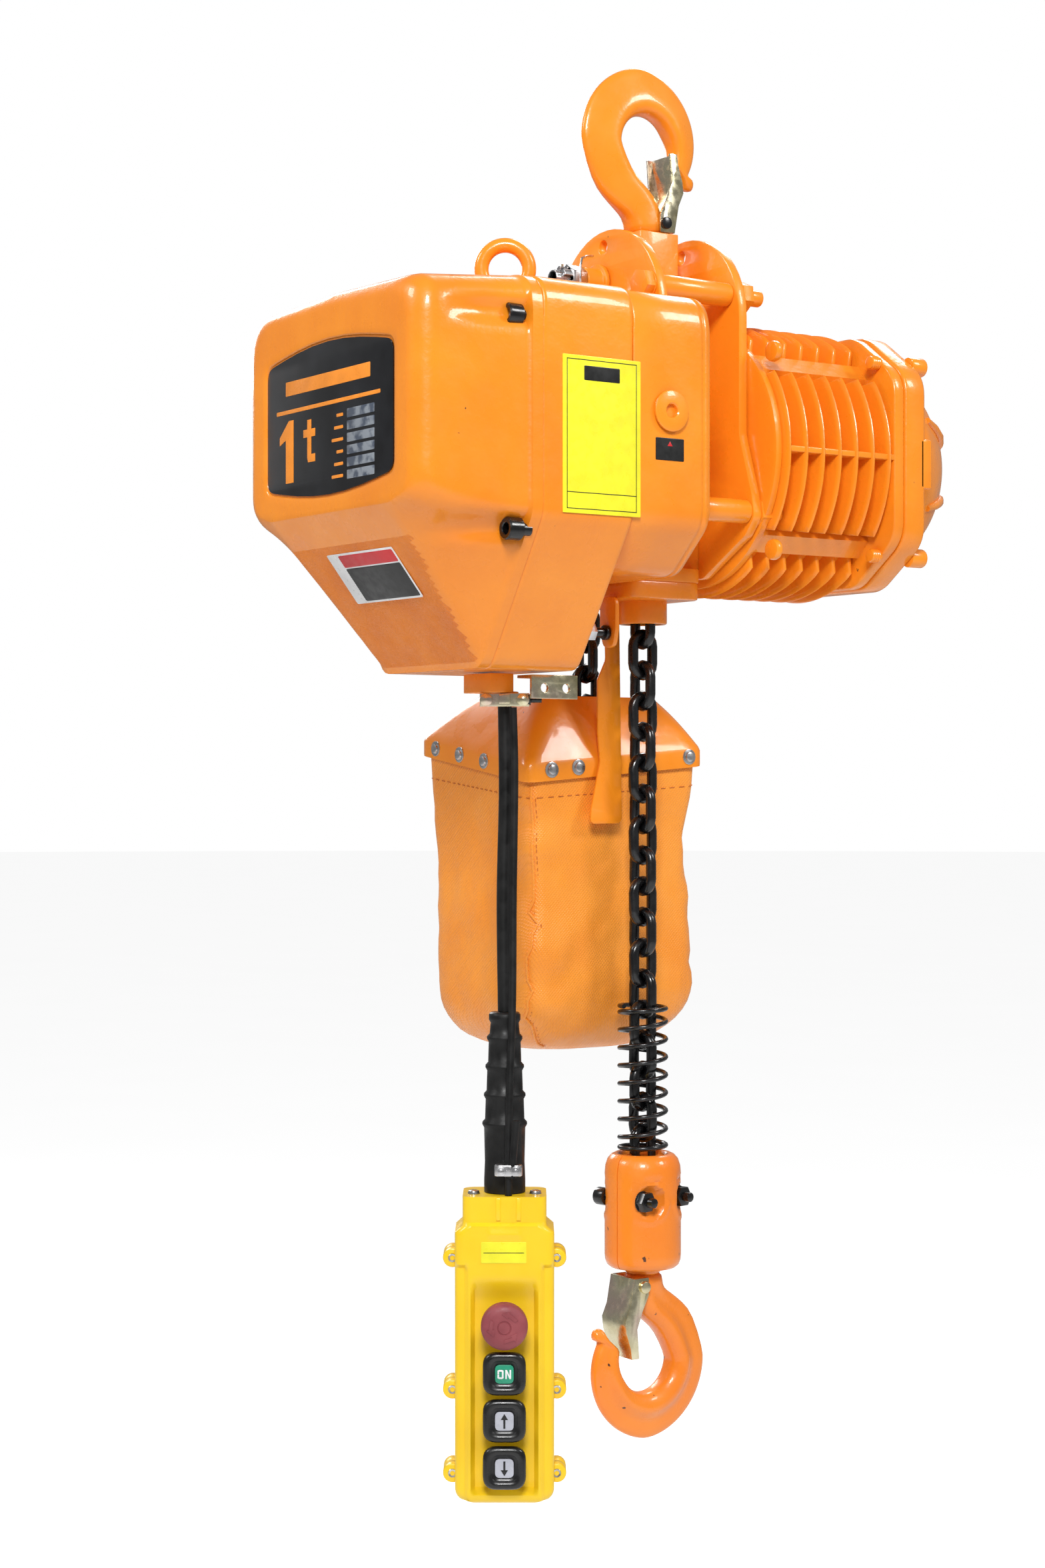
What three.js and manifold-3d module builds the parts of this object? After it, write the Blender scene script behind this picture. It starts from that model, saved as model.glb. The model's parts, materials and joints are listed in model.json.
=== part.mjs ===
// Electric chain hoist, 1 t class, with a top hook, hook block, chain bag and push-button pendant.
// Millimetres, +Z up. The origin is the inside top of the suspension hook's bowl, the load line is
// the Z axis, the motor axis runs along X and the push buttons face the -X -Y side.
import * as THREE from 'three';
import { mergeVertices } from 'three/addons/utils/BufferGeometryUtils.js';
import Module from 'manifold-3d';

const wasm = await Module();
wasm.setup();

// ---- driving dimensions ---------------------------------------------------------------------
const GAP = 0.3;                                  // running gap between neighbouring pieces
const PI = Math.PI;
const chain = { wire: 7.1, pitch: 21, wide: 23.6 };
const wheel = { pockets: 5, y: 33.42, z: -262, core: 20.6, tooth: 4, tip: 34.8, flange: 42 };
wheel.r = wheel.pockets * 2 * chain.pitch / (2 * PI);
const motor = { y: -8, z: -233, shaft: 7 };
const plate = { x: 33, thick: 7, y: -8, top: -83, crown: 60 };
plate.in = plate.x - plate.thick / 2;
plate.out = plate.x + plate.thick / 2;
const pin = { y: 0, z: -118, r: 7.5, thread: 5.5, thread0: -75, shoulder: -51 };
const hook = { bowl: 21, neck: 12.9, neckTop: 81.6 };
const shankEnd = { r: 10, thread: 9, shoulder: -97.8, end: -108.5 };
const block = { top: -706, bottom: -784, r: 26, twist: 12 };
const saddle = -869;                              // inside bottom of the lower hook's bowl
const shaft = { r: 12, left: -64, right: 44 };    // lifting wheel's shaft
const guide = { top: -309.6, step: -319, base: -331, boss: -346.5, bossR: 16.5 };
const gears = { z1: 9, z2: 54, m1: 1.414, z3: 8, z4: 40, m2: 2 };
const wall = 5;                                   // casting wall
const passage = 13.5;                             // radius of the chain passages
const pendant = { x: -125, y: -18, yaw: -34, top: -720, bottom: -917, half: 32 };
const cable = { r: 4.5, top: -404.3, bottom: -603 };
const strain = { r: 2.4 };                        // wire that carries the pendant's weight
const bag = { x0: -83, x1: 67.5, y0: 18, y1: 154.5, gap: 3.4, cloth: 2.5 };
const strand = { first: 2, last: 21 };            // load links below the wheel, counted from its centre
const slack = { first: 2, last: 9 };

// ---- looks ----------------------------------------------------------------------------------
const look = (color, roughness, metalness = 0) => ({ color, roughness, metalness });
const ORANGE = look(0xf58a1f, 0.3);
const STEEL = look(0x9a9a9c, 0.4, 1);
const BLACK = look(0x1b1b1c, 0.45, 0.3);
const ZINC = look(0xc9b873, 0.35, 1);
const COPPER = look(0xa8552c, 0.5, 0.6);
const YELLOW = look(0xf7cf1c, 0.45);
const RUBBER = look(0x151515, 0.8);
const CLOTH = look(0xf39a3a, 0.75);
const RED = look(0xa03040, 0.5);

const hoist = new THREE.Group();

// ---- shape helpers: every helper returns a closed solid --------------------------------------
function solid(geometry) {
  const bare = geometry.clone();
  bare.deleteAttribute('normal');
  bare.deleteAttribute('uv');
  const merged = mergeVertices(bare, 1e-4);
  const index = merged.index.array;
  const kept = [];
  for (let i = 0; i < index.length; i += 3) {
    const [a, b, c] = [index[i], index[i + 1], index[i + 2]];
    if (a !== b && b !== c && c !== a) kept.push(a, b, c);
  }
  const mesh = new wasm.Mesh({
    numProp: 3,
    vertProperties: new Float32Array(merged.attributes.position.array),
    triVerts: new Uint32Array(kept),
  });
  mesh.merge();
  return new wasm.Manifold(mesh);
}

function piece(name, finish, body, parent = hoist) {
  const made = body.getMesh();
  const geometry = new THREE.BufferGeometry();
  const count = made.vertProperties.length / made.numProp;
  const position = new Float32Array(count * 3);
  for (let i = 0; i < count; i += 1) {
    for (let k = 0; k < 3; k += 1) position[3 * i + k] = made.vertProperties[made.numProp * i + k];
  }
  geometry.setAttribute('position', new THREE.BufferAttribute(position, 3));
  geometry.setIndex(new THREE.BufferAttribute(new Uint32Array(made.triVerts), 1));
  const material = new THREE.MeshStandardMaterial(finish);
  const mesh = new THREE.Mesh(geometry, material);
  mesh.name = name;
  parent.add(mesh);
  return mesh;
}

// axes as cyclic bases, so that the third axis is the one a profile is swept along
const AXES = {
  x: new THREE.Matrix4().set(0, 0, 1, 0, 1, 0, 0, 0, 0, 1, 0, 0, 0, 0, 0, 1),
  y: new THREE.Matrix4().set(0, 1, 0, 0, 0, 0, 1, 0, 1, 0, 0, 0, 0, 0, 0, 1),
  z: new THREE.Matrix4(),
};

function box(x0, x1, y0, y1, z0, z1) {
  const g = new THREE.BoxGeometry(x1 - x0, y1 - y0, z1 - z0);
  return solid(g.translate((x0 + x1) / 2, (y0 + y1) / 2, (z0 + z1) / 2));
}

// a turned piece: profile is a list of [radius, place along the axis], first and last on the axis
function turned(axis, centre, profile, segments = 20) {
  const points = profile.map(([r, a]) => new THREE.Vector2(r, a));
  const g = new THREE.LatheGeometry(points, segments);
  if (points[0].y > points.at(-1).y) g.index.array.reverse();
  g.applyMatrix4(new THREE.Matrix4().makeRotationX(PI / 2));
  g.applyMatrix4(AXES[axis]);
  return solid(g.translate(...centre));
}

function rod(axis, centre, r, a0, a1, segments = 20) {
  return turned(axis, centre, [[0, a0], [r, a0], [r, a1], [0, a1]], segments);
}

// a flat outline swept along an axis; points are (y, z) for x, (z, x) for y and (x, y) for z
function prism(axis, points, a0, a1, holes = []) {
  const shape = new THREE.Shape(points.map(([u, v]) => new THREE.Vector2(u, v)));
  for (const [u, v, r] of holes) shape.holes.push(new THREE.Path().absarc(u, v, r, 0, 2 * PI));
  const g = new THREE.ExtrudeGeometry(shape, { depth: a1 - a0, bevelEnabled: false, curveSegments: 5 });
  return solid(g.translate(0, 0, a0).applyMatrix4(AXES[axis]));
}

function tube(points, r, steps, sides) {
  const curve = new THREE.CatmullRomCurve3(points.map((p) => new THREE.Vector3(...p)));
  const section = new THREE.Shape(Array.from({ length: sides }, (_, i) => new THREE.Vector2(
    r * Math.cos(2 * PI * i / sides), r * Math.sin(2 * PI * i / sides))));
  return solid(new THREE.ExtrudeGeometry(section, { steps, extrudePath: curve }));
}

// a skin over rings of points, each ring with the same count, with flat ends or joined up
function loft(rings, closed = false) {
  const n = rings[0].length;
  const spots = rings.flat();
  const index = [];
  const last = closed ? rings.length : rings.length - 1;
  for (let k = 0; k < last; k += 1) {
    const a = k * n;
    const b = ((k + 1) % rings.length) * n;
    for (let i = 0; i < n; i += 1) {
      const j = (i + 1) % n;
      index.push(a + i, a + j, b + i, a + j, b + j, b + i);
    }
  }
  const end = (rings.length - 1) * n;
  for (let i = 1; i < n - 1 && !closed; i += 1) {
    index.push(0, i + 1, i, end, end + i, end + i + 1);
  }
  const g = new THREE.BufferGeometry();
  g.setAttribute('position', new THREE.Float32BufferAttribute(spots.flat(), 3));
  g.setIndex(index);
  const made = solid(g);
  if (made.volume() > 0) return made;
  for (let i = 0; i < index.length; i += 3) index.splice(i, 3, index[i], index[i + 2], index[i + 1]);
  g.setIndex(index);
  return solid(g);
}

function join(...bodies) {
  return bodies.reduce((whole, next) => whole.add(next));
}

// ---- hooks and latches -----------------------------------------------------------------------
// Drawn shank up with the bowl's inside bottom at the origin and the tip towards +p.
const hookOuter = (angle) => {
  const tipSide = Math.max(0, angle) / 120;
  const backSide = Math.max(0, -angle) / 90;
  return 54.4 - 14.5 * tipSide ** 0.8 - 2.6 * Math.min(backSide, 1);
};

function hookSection(inner, outer, innerHalf, outerHalf) {
  const at = (w, t) => [inner[0] + (outer[0] - inner[0]) * w, t, inner[1] + (outer[1] - inner[1]) * w];
  return [
    at(0, -0.55 * innerHalf), at(0.16, -innerHalf), at(0.5, -0.86 * innerHalf), at(0.98, -outerHalf),
    at(0.98, outerHalf), at(0.5, 0.86 * innerHalf), at(0.16, innerHalf), at(0, 0.55 * innerHalf),
  ];
}

function hookBody() {
  const rings = [];
  const polar = (angle, r) => {
    const a = angle * PI / 180;
    return [r * Math.sin(a), hook.bowl - r * Math.cos(a)];
  };
  rings.push(hookSection([12.5, hook.neckTop], [-12.5, hook.neckTop], 12, 8));
  rings.push(hookSection([12.5, 66], [-13.5, 70], 12, 8));
  rings.push(hookSection([7, 54], [-22, 66], 11.5, 7));
  rings.push(hookSection([-4, 46], [-33, 58], 11, 6));
  rings.push(hookSection([-15, 36.5], [-45, 45], 11, 5));
  for (let angle = -92; angle <= 116; angle += 26) {
    const taper = Math.max(0, angle - 60) / 56;
    const half = 11 - 3.4 * taper;
    rings.push(hookSection(polar(angle, hook.bowl + 3 * taper), polar(angle, hookOuter(angle)), half,
      5 + 0.6 * taper));
  }
  rings.push(hookSection([31.5, 41.5], [41.5, 41.5], 5, 4));
  return loft(rings);
}

const PIVOT = { p: 9, z: 74, r: 2.5 };
function hookSolid() {
  const pinHole = rod('y', [PIVOT.p, 0, PIVOT.z], PIVOT.r + 0.5, -20, 20, 12);
  return hookBody().subtract(pinHole);
}

// sheet-metal latch: a web inside the tip, two flanges, and ears on a rivet through the neck
function latchSolid() {
  const half = 13.6;
  const web = prism('y', [[80, 15], [80, 17], [61, 20.5], [52, 24.5], [44, 23.5], [33, 20], [26, 19],
    [26, 17], [33, 18], [44, 21.5], [52, 22.5], [60, 18.5]], -half, half);
  const flange = (y0, y1) => prism('y', [[80, 5], [80, 16], [60, 19.5], [52, 23.5], [44, 22.5], [33, 19],
    [26, 18], [26, 13], [46, 14.5], [58, 10], [68, 5]], y0, y1);
  const rivet = rod('y', [PIVOT.p, 0, PIVOT.z], PIVOT.r, -15.5, 15.5, 12);
  return join(web, flange(-half, -half + 1.5), flange(half - 1.5, half), rivet);
}

// the suspension hook is the same forging turned over, so that its tip points to +X and down
const upperHook = new THREE.Group();
const mirrored = (body) => body.mirror([0, 0, 1]);
const shank = join(
  rod('z', [0, 0, 0], shankEnd.r, shankEnd.shoulder, -hook.neckTop + 1, 16),
  rod('z', [0, 0, 0], shankEnd.thread, shankEnd.end, shankEnd.shoulder + 0.8, 16),
);
piece('top_hook', ORANGE, join(mirrored(hookSolid()), shank), upperHook);
piece('hook_retaining_nut', STEEL, rod('z', [0, 0, 0], 12.8, shankEnd.end, shankEnd.shoulder - 0.8, 6)
  .subtract(rod('z', [0, 0, 0], shankEnd.thread + GAP, -110, -97, 16)), upperHook);
piece('top_latch', ZINC, mirrored(latchSolid()), upperHook);
hoist.add(upperHook);

// ---- yoke and suspension plates ---------------------------------------------------------------
const yokeCore = join(
  box(-16, 16, -19, 19, -140, -82),
  rod('x', [0, pin.y, pin.z], 13, -28.8, 28.8, 16),
);
piece('yoke_block', ORANGE, yokeCore
  .subtract(rod('z', [0, 0, 0], shankEnd.r + GAP, -100, -80, 16))
  .subtract(rod('z', [0, 0, 0], 13.4, -142, -98.2, 16))
  .subtract(rod('x', [0, pin.y, pin.z], pin.r + GAP, -40, 40, 16)));

const crownPoints = Array.from({ length: 9 }, (_, i) => {
  const a = PI - i * PI / 8;
  return [plate.y + plate.crown * Math.cos(a), plate.top - plate.crown + plate.crown * Math.sin(a)];
});
// each side runs straight down, then out to an ear round the lower tie bolt
const sideOf = (s, ear) => [[plate.y + s * 60, -222], [plate.y + s * (ear - 3), -262],
  [plate.y + s * ear, -278], [plate.y + s * (ear - 10), -290], [plate.y + s * 20, -316]];
const plateOutline = [...crownPoints, ...sideOf(1, 115), ...sideOf(-1, 76).reverse()];
const TIES = [
  { name: 'upper_near', y: -55, z: -127 }, { name: 'upper_far', y: 39, z: -127 },
  { name: 'lower_near', y: -75, z: -274 }, { name: 'lower_far', y: 98, z: -274 },
];
const plateHoles = [[pin.y, pin.z, pin.r + 0.8], [plate.y + 4, -94, 4.5],
  [wheel.y, wheel.z, 13.2], [motor.y, motor.z, 9], ...TIES.map((t) => [t.y, t.z, 6.8])];
for (const [name, side] of [['left_plate', -1], ['right_plate', 1]]) {
  const [a, b] = [side * plate.in, side * plate.out].sort((p, q) => p - q);
  piece(name, ORANGE, prism('x', plateOutline, a, b, plateHoles));
}

const pinAt = [0, pin.y, pin.z];
piece('yoke_pin', STEEL, join(
  rod('x', pinAt, pin.r, pin.shoulder - 1, plate.out + 1, 16),
  rod('x', pinAt, 12, plate.out + GAP, plate.out + 6, 12),
  rod('x', pinAt, pin.thread, pin.thread0, pin.shoulder, 12),
));
const castleSlots = [0, 60, 120].map((a) => box(-70, -64, -13, 13, -1.6, 1.6)
  .rotate(a, 0, 0).translate(0, pin.y, pin.z));
piece('castle_nut', ORANGE, castleSlots.reduce((nut, slot) => nut.subtract(slot),
  join(rod('x', pinAt, 10.5, -64, -52.3, 6), rod('x', pinAt, 8.6, -70, -63.9, 12)))
  .subtract(rod('x', pinAt, pin.thread + GAP, -80, -40, 12)));
piece('pin_washer', ORANGE, join(rod('x', pinAt, 13, -40, -plate.out - GAP, 16),
  rod('x', pinAt, 10, -52, -39.9, 16)).subtract(rod('x', pinAt, pin.r + GAP, -55, -30, 16)));
for (const tie of TIES) {
  const at = [0, tie.y, tie.z];
  piece(`tie_bolt_${tie.name}`, ORANGE, join(
    rod('x', at, 8, -plate.in + GAP, plate.in - GAP, 12),
    rod('x', at, 6, -plate.out - 2, 57, 10),
    rod('x', at, 10.4, plate.out + GAP, plate.out + 10, 6),
    rod('x', at, 10.4, -plate.out - 0.8, -plate.out - GAP, 6),
  ));
}

// ---- lifting wheel housing and chain guide ---------------------------------------------------
const wheelAt = [0, wheel.y, wheel.z];
const slackY = 2 * wheel.y;                       // the slack run hangs from the wheel's far side
const housingOutline = [[-24, -309], [-24, -200], [-6, -176], [wheel.y - 10, -168], [slackY - 6, -176],
  [slackY + 20, -205], [slackY + 22, -309]];
piece('wheel_housing', ORANGE, prism('x', housingOutline, -plate.in + GAP, plate.in - GAP)
  .subtract(rod('x', wheelAt, 52.5, -22.5, 22.5, 24))
  .subtract(box(-passage, passage, -passage, passage, -320, wheel.z))
  .subtract(box(-passage, passage, slackY - passage, slackY + passage, -320, wheel.z))
  .subtract(rod('x', wheelAt, shaft.r + 0.6, -40, 40, 16))
  .subtract(rod('x', [0, motor.y, motor.z], 8.6, -40, 40, 14)));

piece('chain_guide', ORANGE, join(
  box(-36, 25, -35, slackY + 24, guide.base, guide.step + 0.5),
  box(-27, 25, -35, slackY + 24, guide.step, guide.top),
  rod('z', [0, 0, 0], guide.bossR, guide.boss, guide.base + 1, 16),
).subtract(rod('z', [0, 0, 0], passage, -350, -300, 16))
  .subtract(rod('z', [0, slackY, 0], passage, -350, -300, 16)));

// ---- body shells ------------------------------------------------------------------------------
// A section across the body: half width, top, shoulder and crease heights, foot half width, bottom.
function bodyRing(x, s, inset = 0) {
  const half = s.half - inset;
  const side = [[0, s.top - inset], [0.55 * half, s.top - 3 - inset], [half - 14, s.shoulder + 8 - inset],
    [half - 4, s.shoulder - inset], [half, s.shoulder - 14], [half, s.crease + 0.3 * inset],
    [s.foot - 0.5 * inset, s.bottom + inset]];
  const near = side.map(([y, z]) => [x, motor.y - y, z]);
  const farSide = side.slice(1).reverse().map(([y, z]) => [x, motor.y + y, z]);
  return [...near, ...farSide];
}

const section = {
  gear: { half: 118, top: -141, shoulder: -152, crease: -290, foot: 84, bottom: -322 },
  rim: { half: 113, top: -146, shoulder: -158, crease: -286, foot: 80, bottom: -317 },
  base: { half: 118, top: -140, shoulder: -151, crease: -290, foot: 58, bottom: -383 },
  bulge: { half: 116, top: -141, shoulder: -153, crease: -286, foot: 60, bottom: -378 },
  brow: { half: 107, top: -145, shoulder: -159, crease: -282, foot: 72, bottom: -306 },
  face: { half: 94, top: -155, shoulder: -170, crease: -276, foot: 80, bottom: -287 },
};
const station = { face: -252, brow: -240, seam: -168, mid: -100.3, rim: -38, rimStart: -45 };
const cornerHoles = [];
for (const y of [motor.y - 108, motor.y + 108]) for (const z of [-170, -300]) cornerHoles.push([y, z]);

const gearboxOuter = loft([
  bodyRing(station.mid + GAP, section.gear),
  bodyRing(station.rimStart, section.gear),
  bodyRing(station.rim, section.rim),
]);
const gearboxInner = loft([
  bodyRing(station.mid + wall, section.gear, wall),
  bodyRing(station.rim + 1, section.gear, wall),
]);
const plugAt = { x: -72, z: -221, r: 13 };
piece('gearbox_housing', ORANGE, gearboxOuter.subtract(gearboxInner)
  .subtract(rod('x', [0, motor.y, motor.z], 9, -110, -90, 14))
  .subtract(rod('y', [plugAt.x, 0, plugAt.z], 10.3, motor.y - 125, motor.y - 100, 14)));
piece('oil_plug', ORANGE, join(
  rod('y', [plugAt.x, 0, plugAt.z], 10, motor.y - 119, motor.y - 112, 14),
  rod('y', [plugAt.x, 0, plugAt.z], plugAt.r, motor.y - 121, motor.y - 118.3, 20),
).subtract(rod('y', [plugAt.x, 0, plugAt.z], 4.6, motor.y - 125, motor.y - 115.5, 6)));

const eye = { x: -118, z: -118, r: 15.6, wire: 4.8 };
const footCut = prism('y', [[-305, station.mid + 5], [-400, station.mid + 5], [-400, -150], [-383, -143],
  [-305, station.mid + 0.01]], -150, 150);
const baseInner = loft([
  bodyRing(station.seam - wall, section.base, wall),
  bodyRing(station.mid - wall, section.base, wall),
]);
const footInner = prism('y', [[-300, station.mid + 9], [-420, station.mid + 9], [-420, -156], [-383, -149],
  [-300, station.mid - 5]], -150, 150);
const gland = { x0: -144, x1: -126, y0: -30, y1: 2, top: -383.6, neck: -396, r: 9, tip: -404 };
const bracket = { x0: -122, x1: -86, y0: -45, y1: -28, z0: -400, z1: -384.6, holes: [-112, -95] };
const baseOuter = loft([bodyRing(station.seam, section.base), bodyRing(station.mid, section.base)]);
piece('control_base', ORANGE, baseOuter
  .subtract(footCut).subtract(baseInner.subtract(footInner))
  .subtract(rod('x', [0, motor.y, motor.z], 14, -110, -90, 14))
  .subtract(rod('z', [eye.x, motor.y, 0], 6.3, -150, -130, 14))
  .subtract(rod('z', [-154, motor.y - 10, 0], 8, -395, -370, 12)));

const coverRings = (inset, push) => [
  bodyRing(station.seam - GAP + push, section.base, inset), bodyRing(station.seam - 8, section.bulge, inset),
  bodyRing(station.brow + inset, section.brow, inset), bodyRing(station.face + inset, section.face, inset)];
const platePath = [];
for (let i = 0; i <= 6; i += 1) {
  const t = i / 6;
  platePath.push([motor.y - 79 + 158 * t, -186 + 9 * Math.sin(PI * t)]);
}
for (let i = 0; i <= 6; i += 1) {
  const t = i / 6;
  platePath.push([motor.y + 79 - 158 * t, -266 - 8 * Math.sin(PI * t)]);
}
const grow = (points, d) => points.map(([y, z]) => [motor.y + (y - motor.y) * (1 + d / 79),
  -226 + (z + 226) * (1 + d / 44)]);
const screwSlots = cornerHoles.map(([y, z]) => rod('x', [0, y, z], 8.2, -200, -172, 12));
piece('control_cover', ORANGE, screwSlots.reduce((a, b) => a.subtract(b), loft(coverRings(0, 0))
  .subtract(loft(coverRings(wall, 3))))
  .subtract(prism('x', grow(platePath, 1), station.face - 1, station.face + 1.8)));
piece('nameplate', BLACK, prism('x', platePath, station.face - 0.1, station.face + 1.5));
for (const [i, [y, z]] of cornerHoles.entries()) {
  piece(`cover_screw_${i + 1}`, BLACK, join(rod('x', [0, y, z], 7, -190, -180, 12),
    rod('x', [0, y, z], 4, -180.1, -172.4, 10)));
}

piece('eyebolt', ORANGE, (() => {
  const ring = solid(new THREE.TorusGeometry(eye.r, eye.wire, 6, 16)).rotate(90, 0, 0)
    .rotate(0, 0, pendant.yaw).translate(eye.x, motor.y, eye.z);
  return join(ring, rod('z', [eye.x, motor.y, 0], 13, -139.6, -134.5, 16),
    rod('z', [eye.x, motor.y, 0], 6, -150, -134.6, 14));
})());

// control gear on the inner wall of the base
const gearBack = -106;                            // both stand on the base's inner wall
piece('contactor', BLACK, join(
  box(-158, gearBack, -62, -16, -232, -168),
  box(-163, -158.1, -52, -26, -214, -186),
  box(-158.2, -157.9, -50, -30, -210, -190),
));
piece('control_transformer', COPPER, join(
  box(-155, gearBack, 22, 74, -216, -168),
  box(-163, gearBack, 34, 62, -224, -160),
));

// ---- motor ------------------------------------------------------------------------------------
const motorX = { face: plate.out + 0.6, end: 147, fins: 7, pitch: 15.7, fin: 4, root: 78, tip: 94 };
const finned = [[68, motorX.face], [motorX.tip - 6, motorX.face], [motorX.tip - 6, motorX.face + 6],
  [motorX.root, motorX.face + 8]];
for (let i = 0; i < motorX.fins - 1; i += 1) {
  const x = motorX.face + 13 + i * motorX.pitch;
  finned.push([motorX.root, x], [motorX.tip, x + 0.6], [motorX.tip, x + motorX.fin - 0.6],
    [motorX.root, x + motorX.fin]);
}
finned.push([motorX.root, motorX.end - 9], [motorX.tip, motorX.end - 9], [motorX.tip, motorX.end],
  [68, motorX.end], [68, motorX.face]);
const motorAt = [0, motor.y, motor.z];
const land = (angle) => box(motorX.face + 2, motorX.end - 2, -9, 9, motorX.root - 4, motorX.tip - 1.5)
  .rotate(angle, 0, 0).translate(0, motor.y, motor.z);
const tieClear = TIES.map((t) => rod('x', [0, t.y, t.z], 11.4, 30, 60, 12));
piece('motor_housing', ORANGE, tieClear.reduce((a, b) => a.subtract(b),
  join(turned('x', motorAt, finned, 18), land(45), land(135), land(225), land(315))));
piece('stator', COPPER, rod('x', motorAt, 66, 52, 132, 18).subtract(rod('x', motorAt, 48, 50, 134, 24)));
const flange = [[-88, 52], [-60, 84], [60, 84], [88, 52], [88, -52], [60, -84], [-60, -84], [-88, -52]]
  .map(([y, z]) => [motor.y + y * 1.08, motor.z + z * 1.06]);
piece('motor_end_cover', ORANGE, join(
  prism('x', flange, motorX.end + GAP, 165),
  turned('x', motorAt, [[0, 164], [85, 164], [84, 176], [70, 200], [50, 222], [24, 232], [0, 240]], 20),
).subtract(turned('x', motorAt, [[0, 140], [66, 140], [66, 172], [52, 205], [0, 214]], 20)));
piece('rotor', STEEL, join(
  rod('x', motorAt, 4, -81.5, -65, 12),
  rod('x', motorAt, motor.shaft, -66, 166, 14),
  rod('x', motorAt, 47, 54, 130, 20),
  rod('x', motorAt, 52, 156, 163, 20),
  gearSolid(gears.z1, gears.m1, -81, -71, motor.y, motor.z, 0),
));

// ---- gears --------------------------------------------------------------------------------------
// straight teeth with generous backlash; phase is the angle of one tooth's centre from +Y
function gearSolid(z, m, x0, x1, y, zc, phase) {
  const pitchR = m * z / 2;
  const [root, tip] = [pitchR - 1.05 * m, pitchR + 0.7 * m];
  const points = [];
  for (let k = 0; k < z; k += 1) {
    for (const [r, w] of [[root, -0.34], [tip, -0.1], [tip, 0.1], [root, 0.34]]) {
      const a = phase + (2 * PI / z) * (k + w);
      points.push([y + r * Math.cos(a), zc + r * Math.sin(a)]);
    }
  }
  return prism('x', points, x0, x1);
}
// the counter shaft stands where both pairs of pitch circles touch
const firstPair = gears.m1 * (gears.z1 + gears.z2) / 2;
const secondPair = gears.m2 * (gears.z3 + gears.z4) / 2;
const [dy, dz] = [wheel.y - motor.y, wheel.z - motor.z];
const apart = Math.hypot(dy, dz);
const along = (firstPair ** 2 - secondPair ** 2 + apart ** 2) / (2 * apart);
const across = Math.sqrt(firstPair ** 2 - along ** 2);
const counter = {
  y: motor.y + (along * dy - across * dz) / apart,
  z: motor.z + (along * dz + across * dy) / apart,
};
// a gear's tooth gap faces the pinion's tooth along the line of centres
const bearing = (from, to) => Math.atan2(to.z - from.z, to.y - from.y);
const meshPhase = (ownTeeth, otherTeeth, otherPhase, other, own) => {
  const line = bearing(other, own);
  const turns = (line - otherPhase) * otherTeeth / (2 * PI);
  return line + PI + (turns + 0.5) * 2 * PI / ownTeeth;
};
const counterPhase = meshPhase(gears.z2, gears.z1, 0, motor, counter);
const finalPhase = meshPhase(gears.z4, gears.z3, counterPhase, counter, wheel);
const counterAt = [0, counter.y, counter.z];
piece('counter_gear', STEEL, join(
  rod('x', counterAt, 5, -90, -43, 12),
  gearSolid(gears.z2, gears.m1, -80, -72, counter.y, counter.z, counterPhase),
  gearSolid(gears.z3, gears.m2, -61, -47, counter.y, counter.z, counterPhase),
));
piece('final_gear', STEEL, gearSolid(gears.z4, gears.m2, -59, -49, wheel.y, wheel.z, finalPhase)
  .subtract(rod('x', wheelAt, shaft.r + GAP, -65, -40, 16)));

// ---- lifting wheel and chains -------------------------------------------------------------------
const teeth = [];
for (let k = 0; k < wheel.pockets; k += 1) {
  for (const side of [-1, 1]) {
    const [x0, x1] = [side * 4.6, side * 12.6].sort((a, b) => a - b);
    const tooth = prism('x', [[-wheel.tip, -1.5], [-31, -wheel.tooth / 2], [-16, -4.2], [-16, 4.2],
      [-31, wheel.tooth / 2], [-wheel.tip, 1.5]], x0, x1);
    teeth.push(tooth.rotate(72 * k, 0, 0).translate(0, wheel.y, wheel.z));
  }
}
piece('load_wheel', STEEL, join(turned('x', wheelAt, [[0, shaft.left], [shaft.r, shaft.left], [shaft.r, -20],
  [wheel.flange, -20],
  [wheel.flange, -13.2], [wheel.core, -12.5], [wheel.core, 12.5], [wheel.flange, 13.2], [wheel.flange, 20],
  [shaft.r, 20], [shaft.r, shaft.right], [0, shaft.right]], 20), ...teeth));

// one link: a stadium-shaped ring of wire, long axis along Z, in the YZ plane unless turned
function link(wire, stretch = 0) {
  const r = wire / 2;
  const bend = (chain.wide - chain.wire) / 2;
  const reach = (chain.pitch + chain.wire) / 2 - bend;
  const rings = [];
  for (const end of [1, -1]) {
    for (let i = 0; i <= 4; i += 1) {
      const a = (end > 0 ? 0 : PI) + i * PI / 4;
      const [cy, cz] = [Math.cos(a), Math.sin(a)];
      rings.push(Array.from({ length: 4 }, (_, k) => {
        const b = k * PI / 2;
        return [r * Math.sin(b), (bend + r * Math.cos(b)) * cy,
          (bend + r * Math.cos(b)) * cz + end * (reach + stretch)];
      }));
    }
  }
  return loft(rings, true);
}

// a straight run of links below the wheel; twist is how slackY the last link has turned
function run(y, range, flatWhenOdd, twist) {
  const links = [];
  for (let k = range.first; k <= range.last; k += 1) {
    const flat = (k % 2 === 1) === flatWhenOdd;
    const turn = twist * (k - range.first) / (range.last - range.first);
    links.push(link(chain.wire + 0.45).rotate(0, 0, (flat ? 90 : 0) + turn)
      .translate(0, y, wheel.z - chain.pitch * k));
  }
  return join(...links);
}
piece('load_chain', BLACK, run(0, strand, true, block.twist));
piece('slack_chain', BLACK, run(slackY, slack, false, 0));

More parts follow.
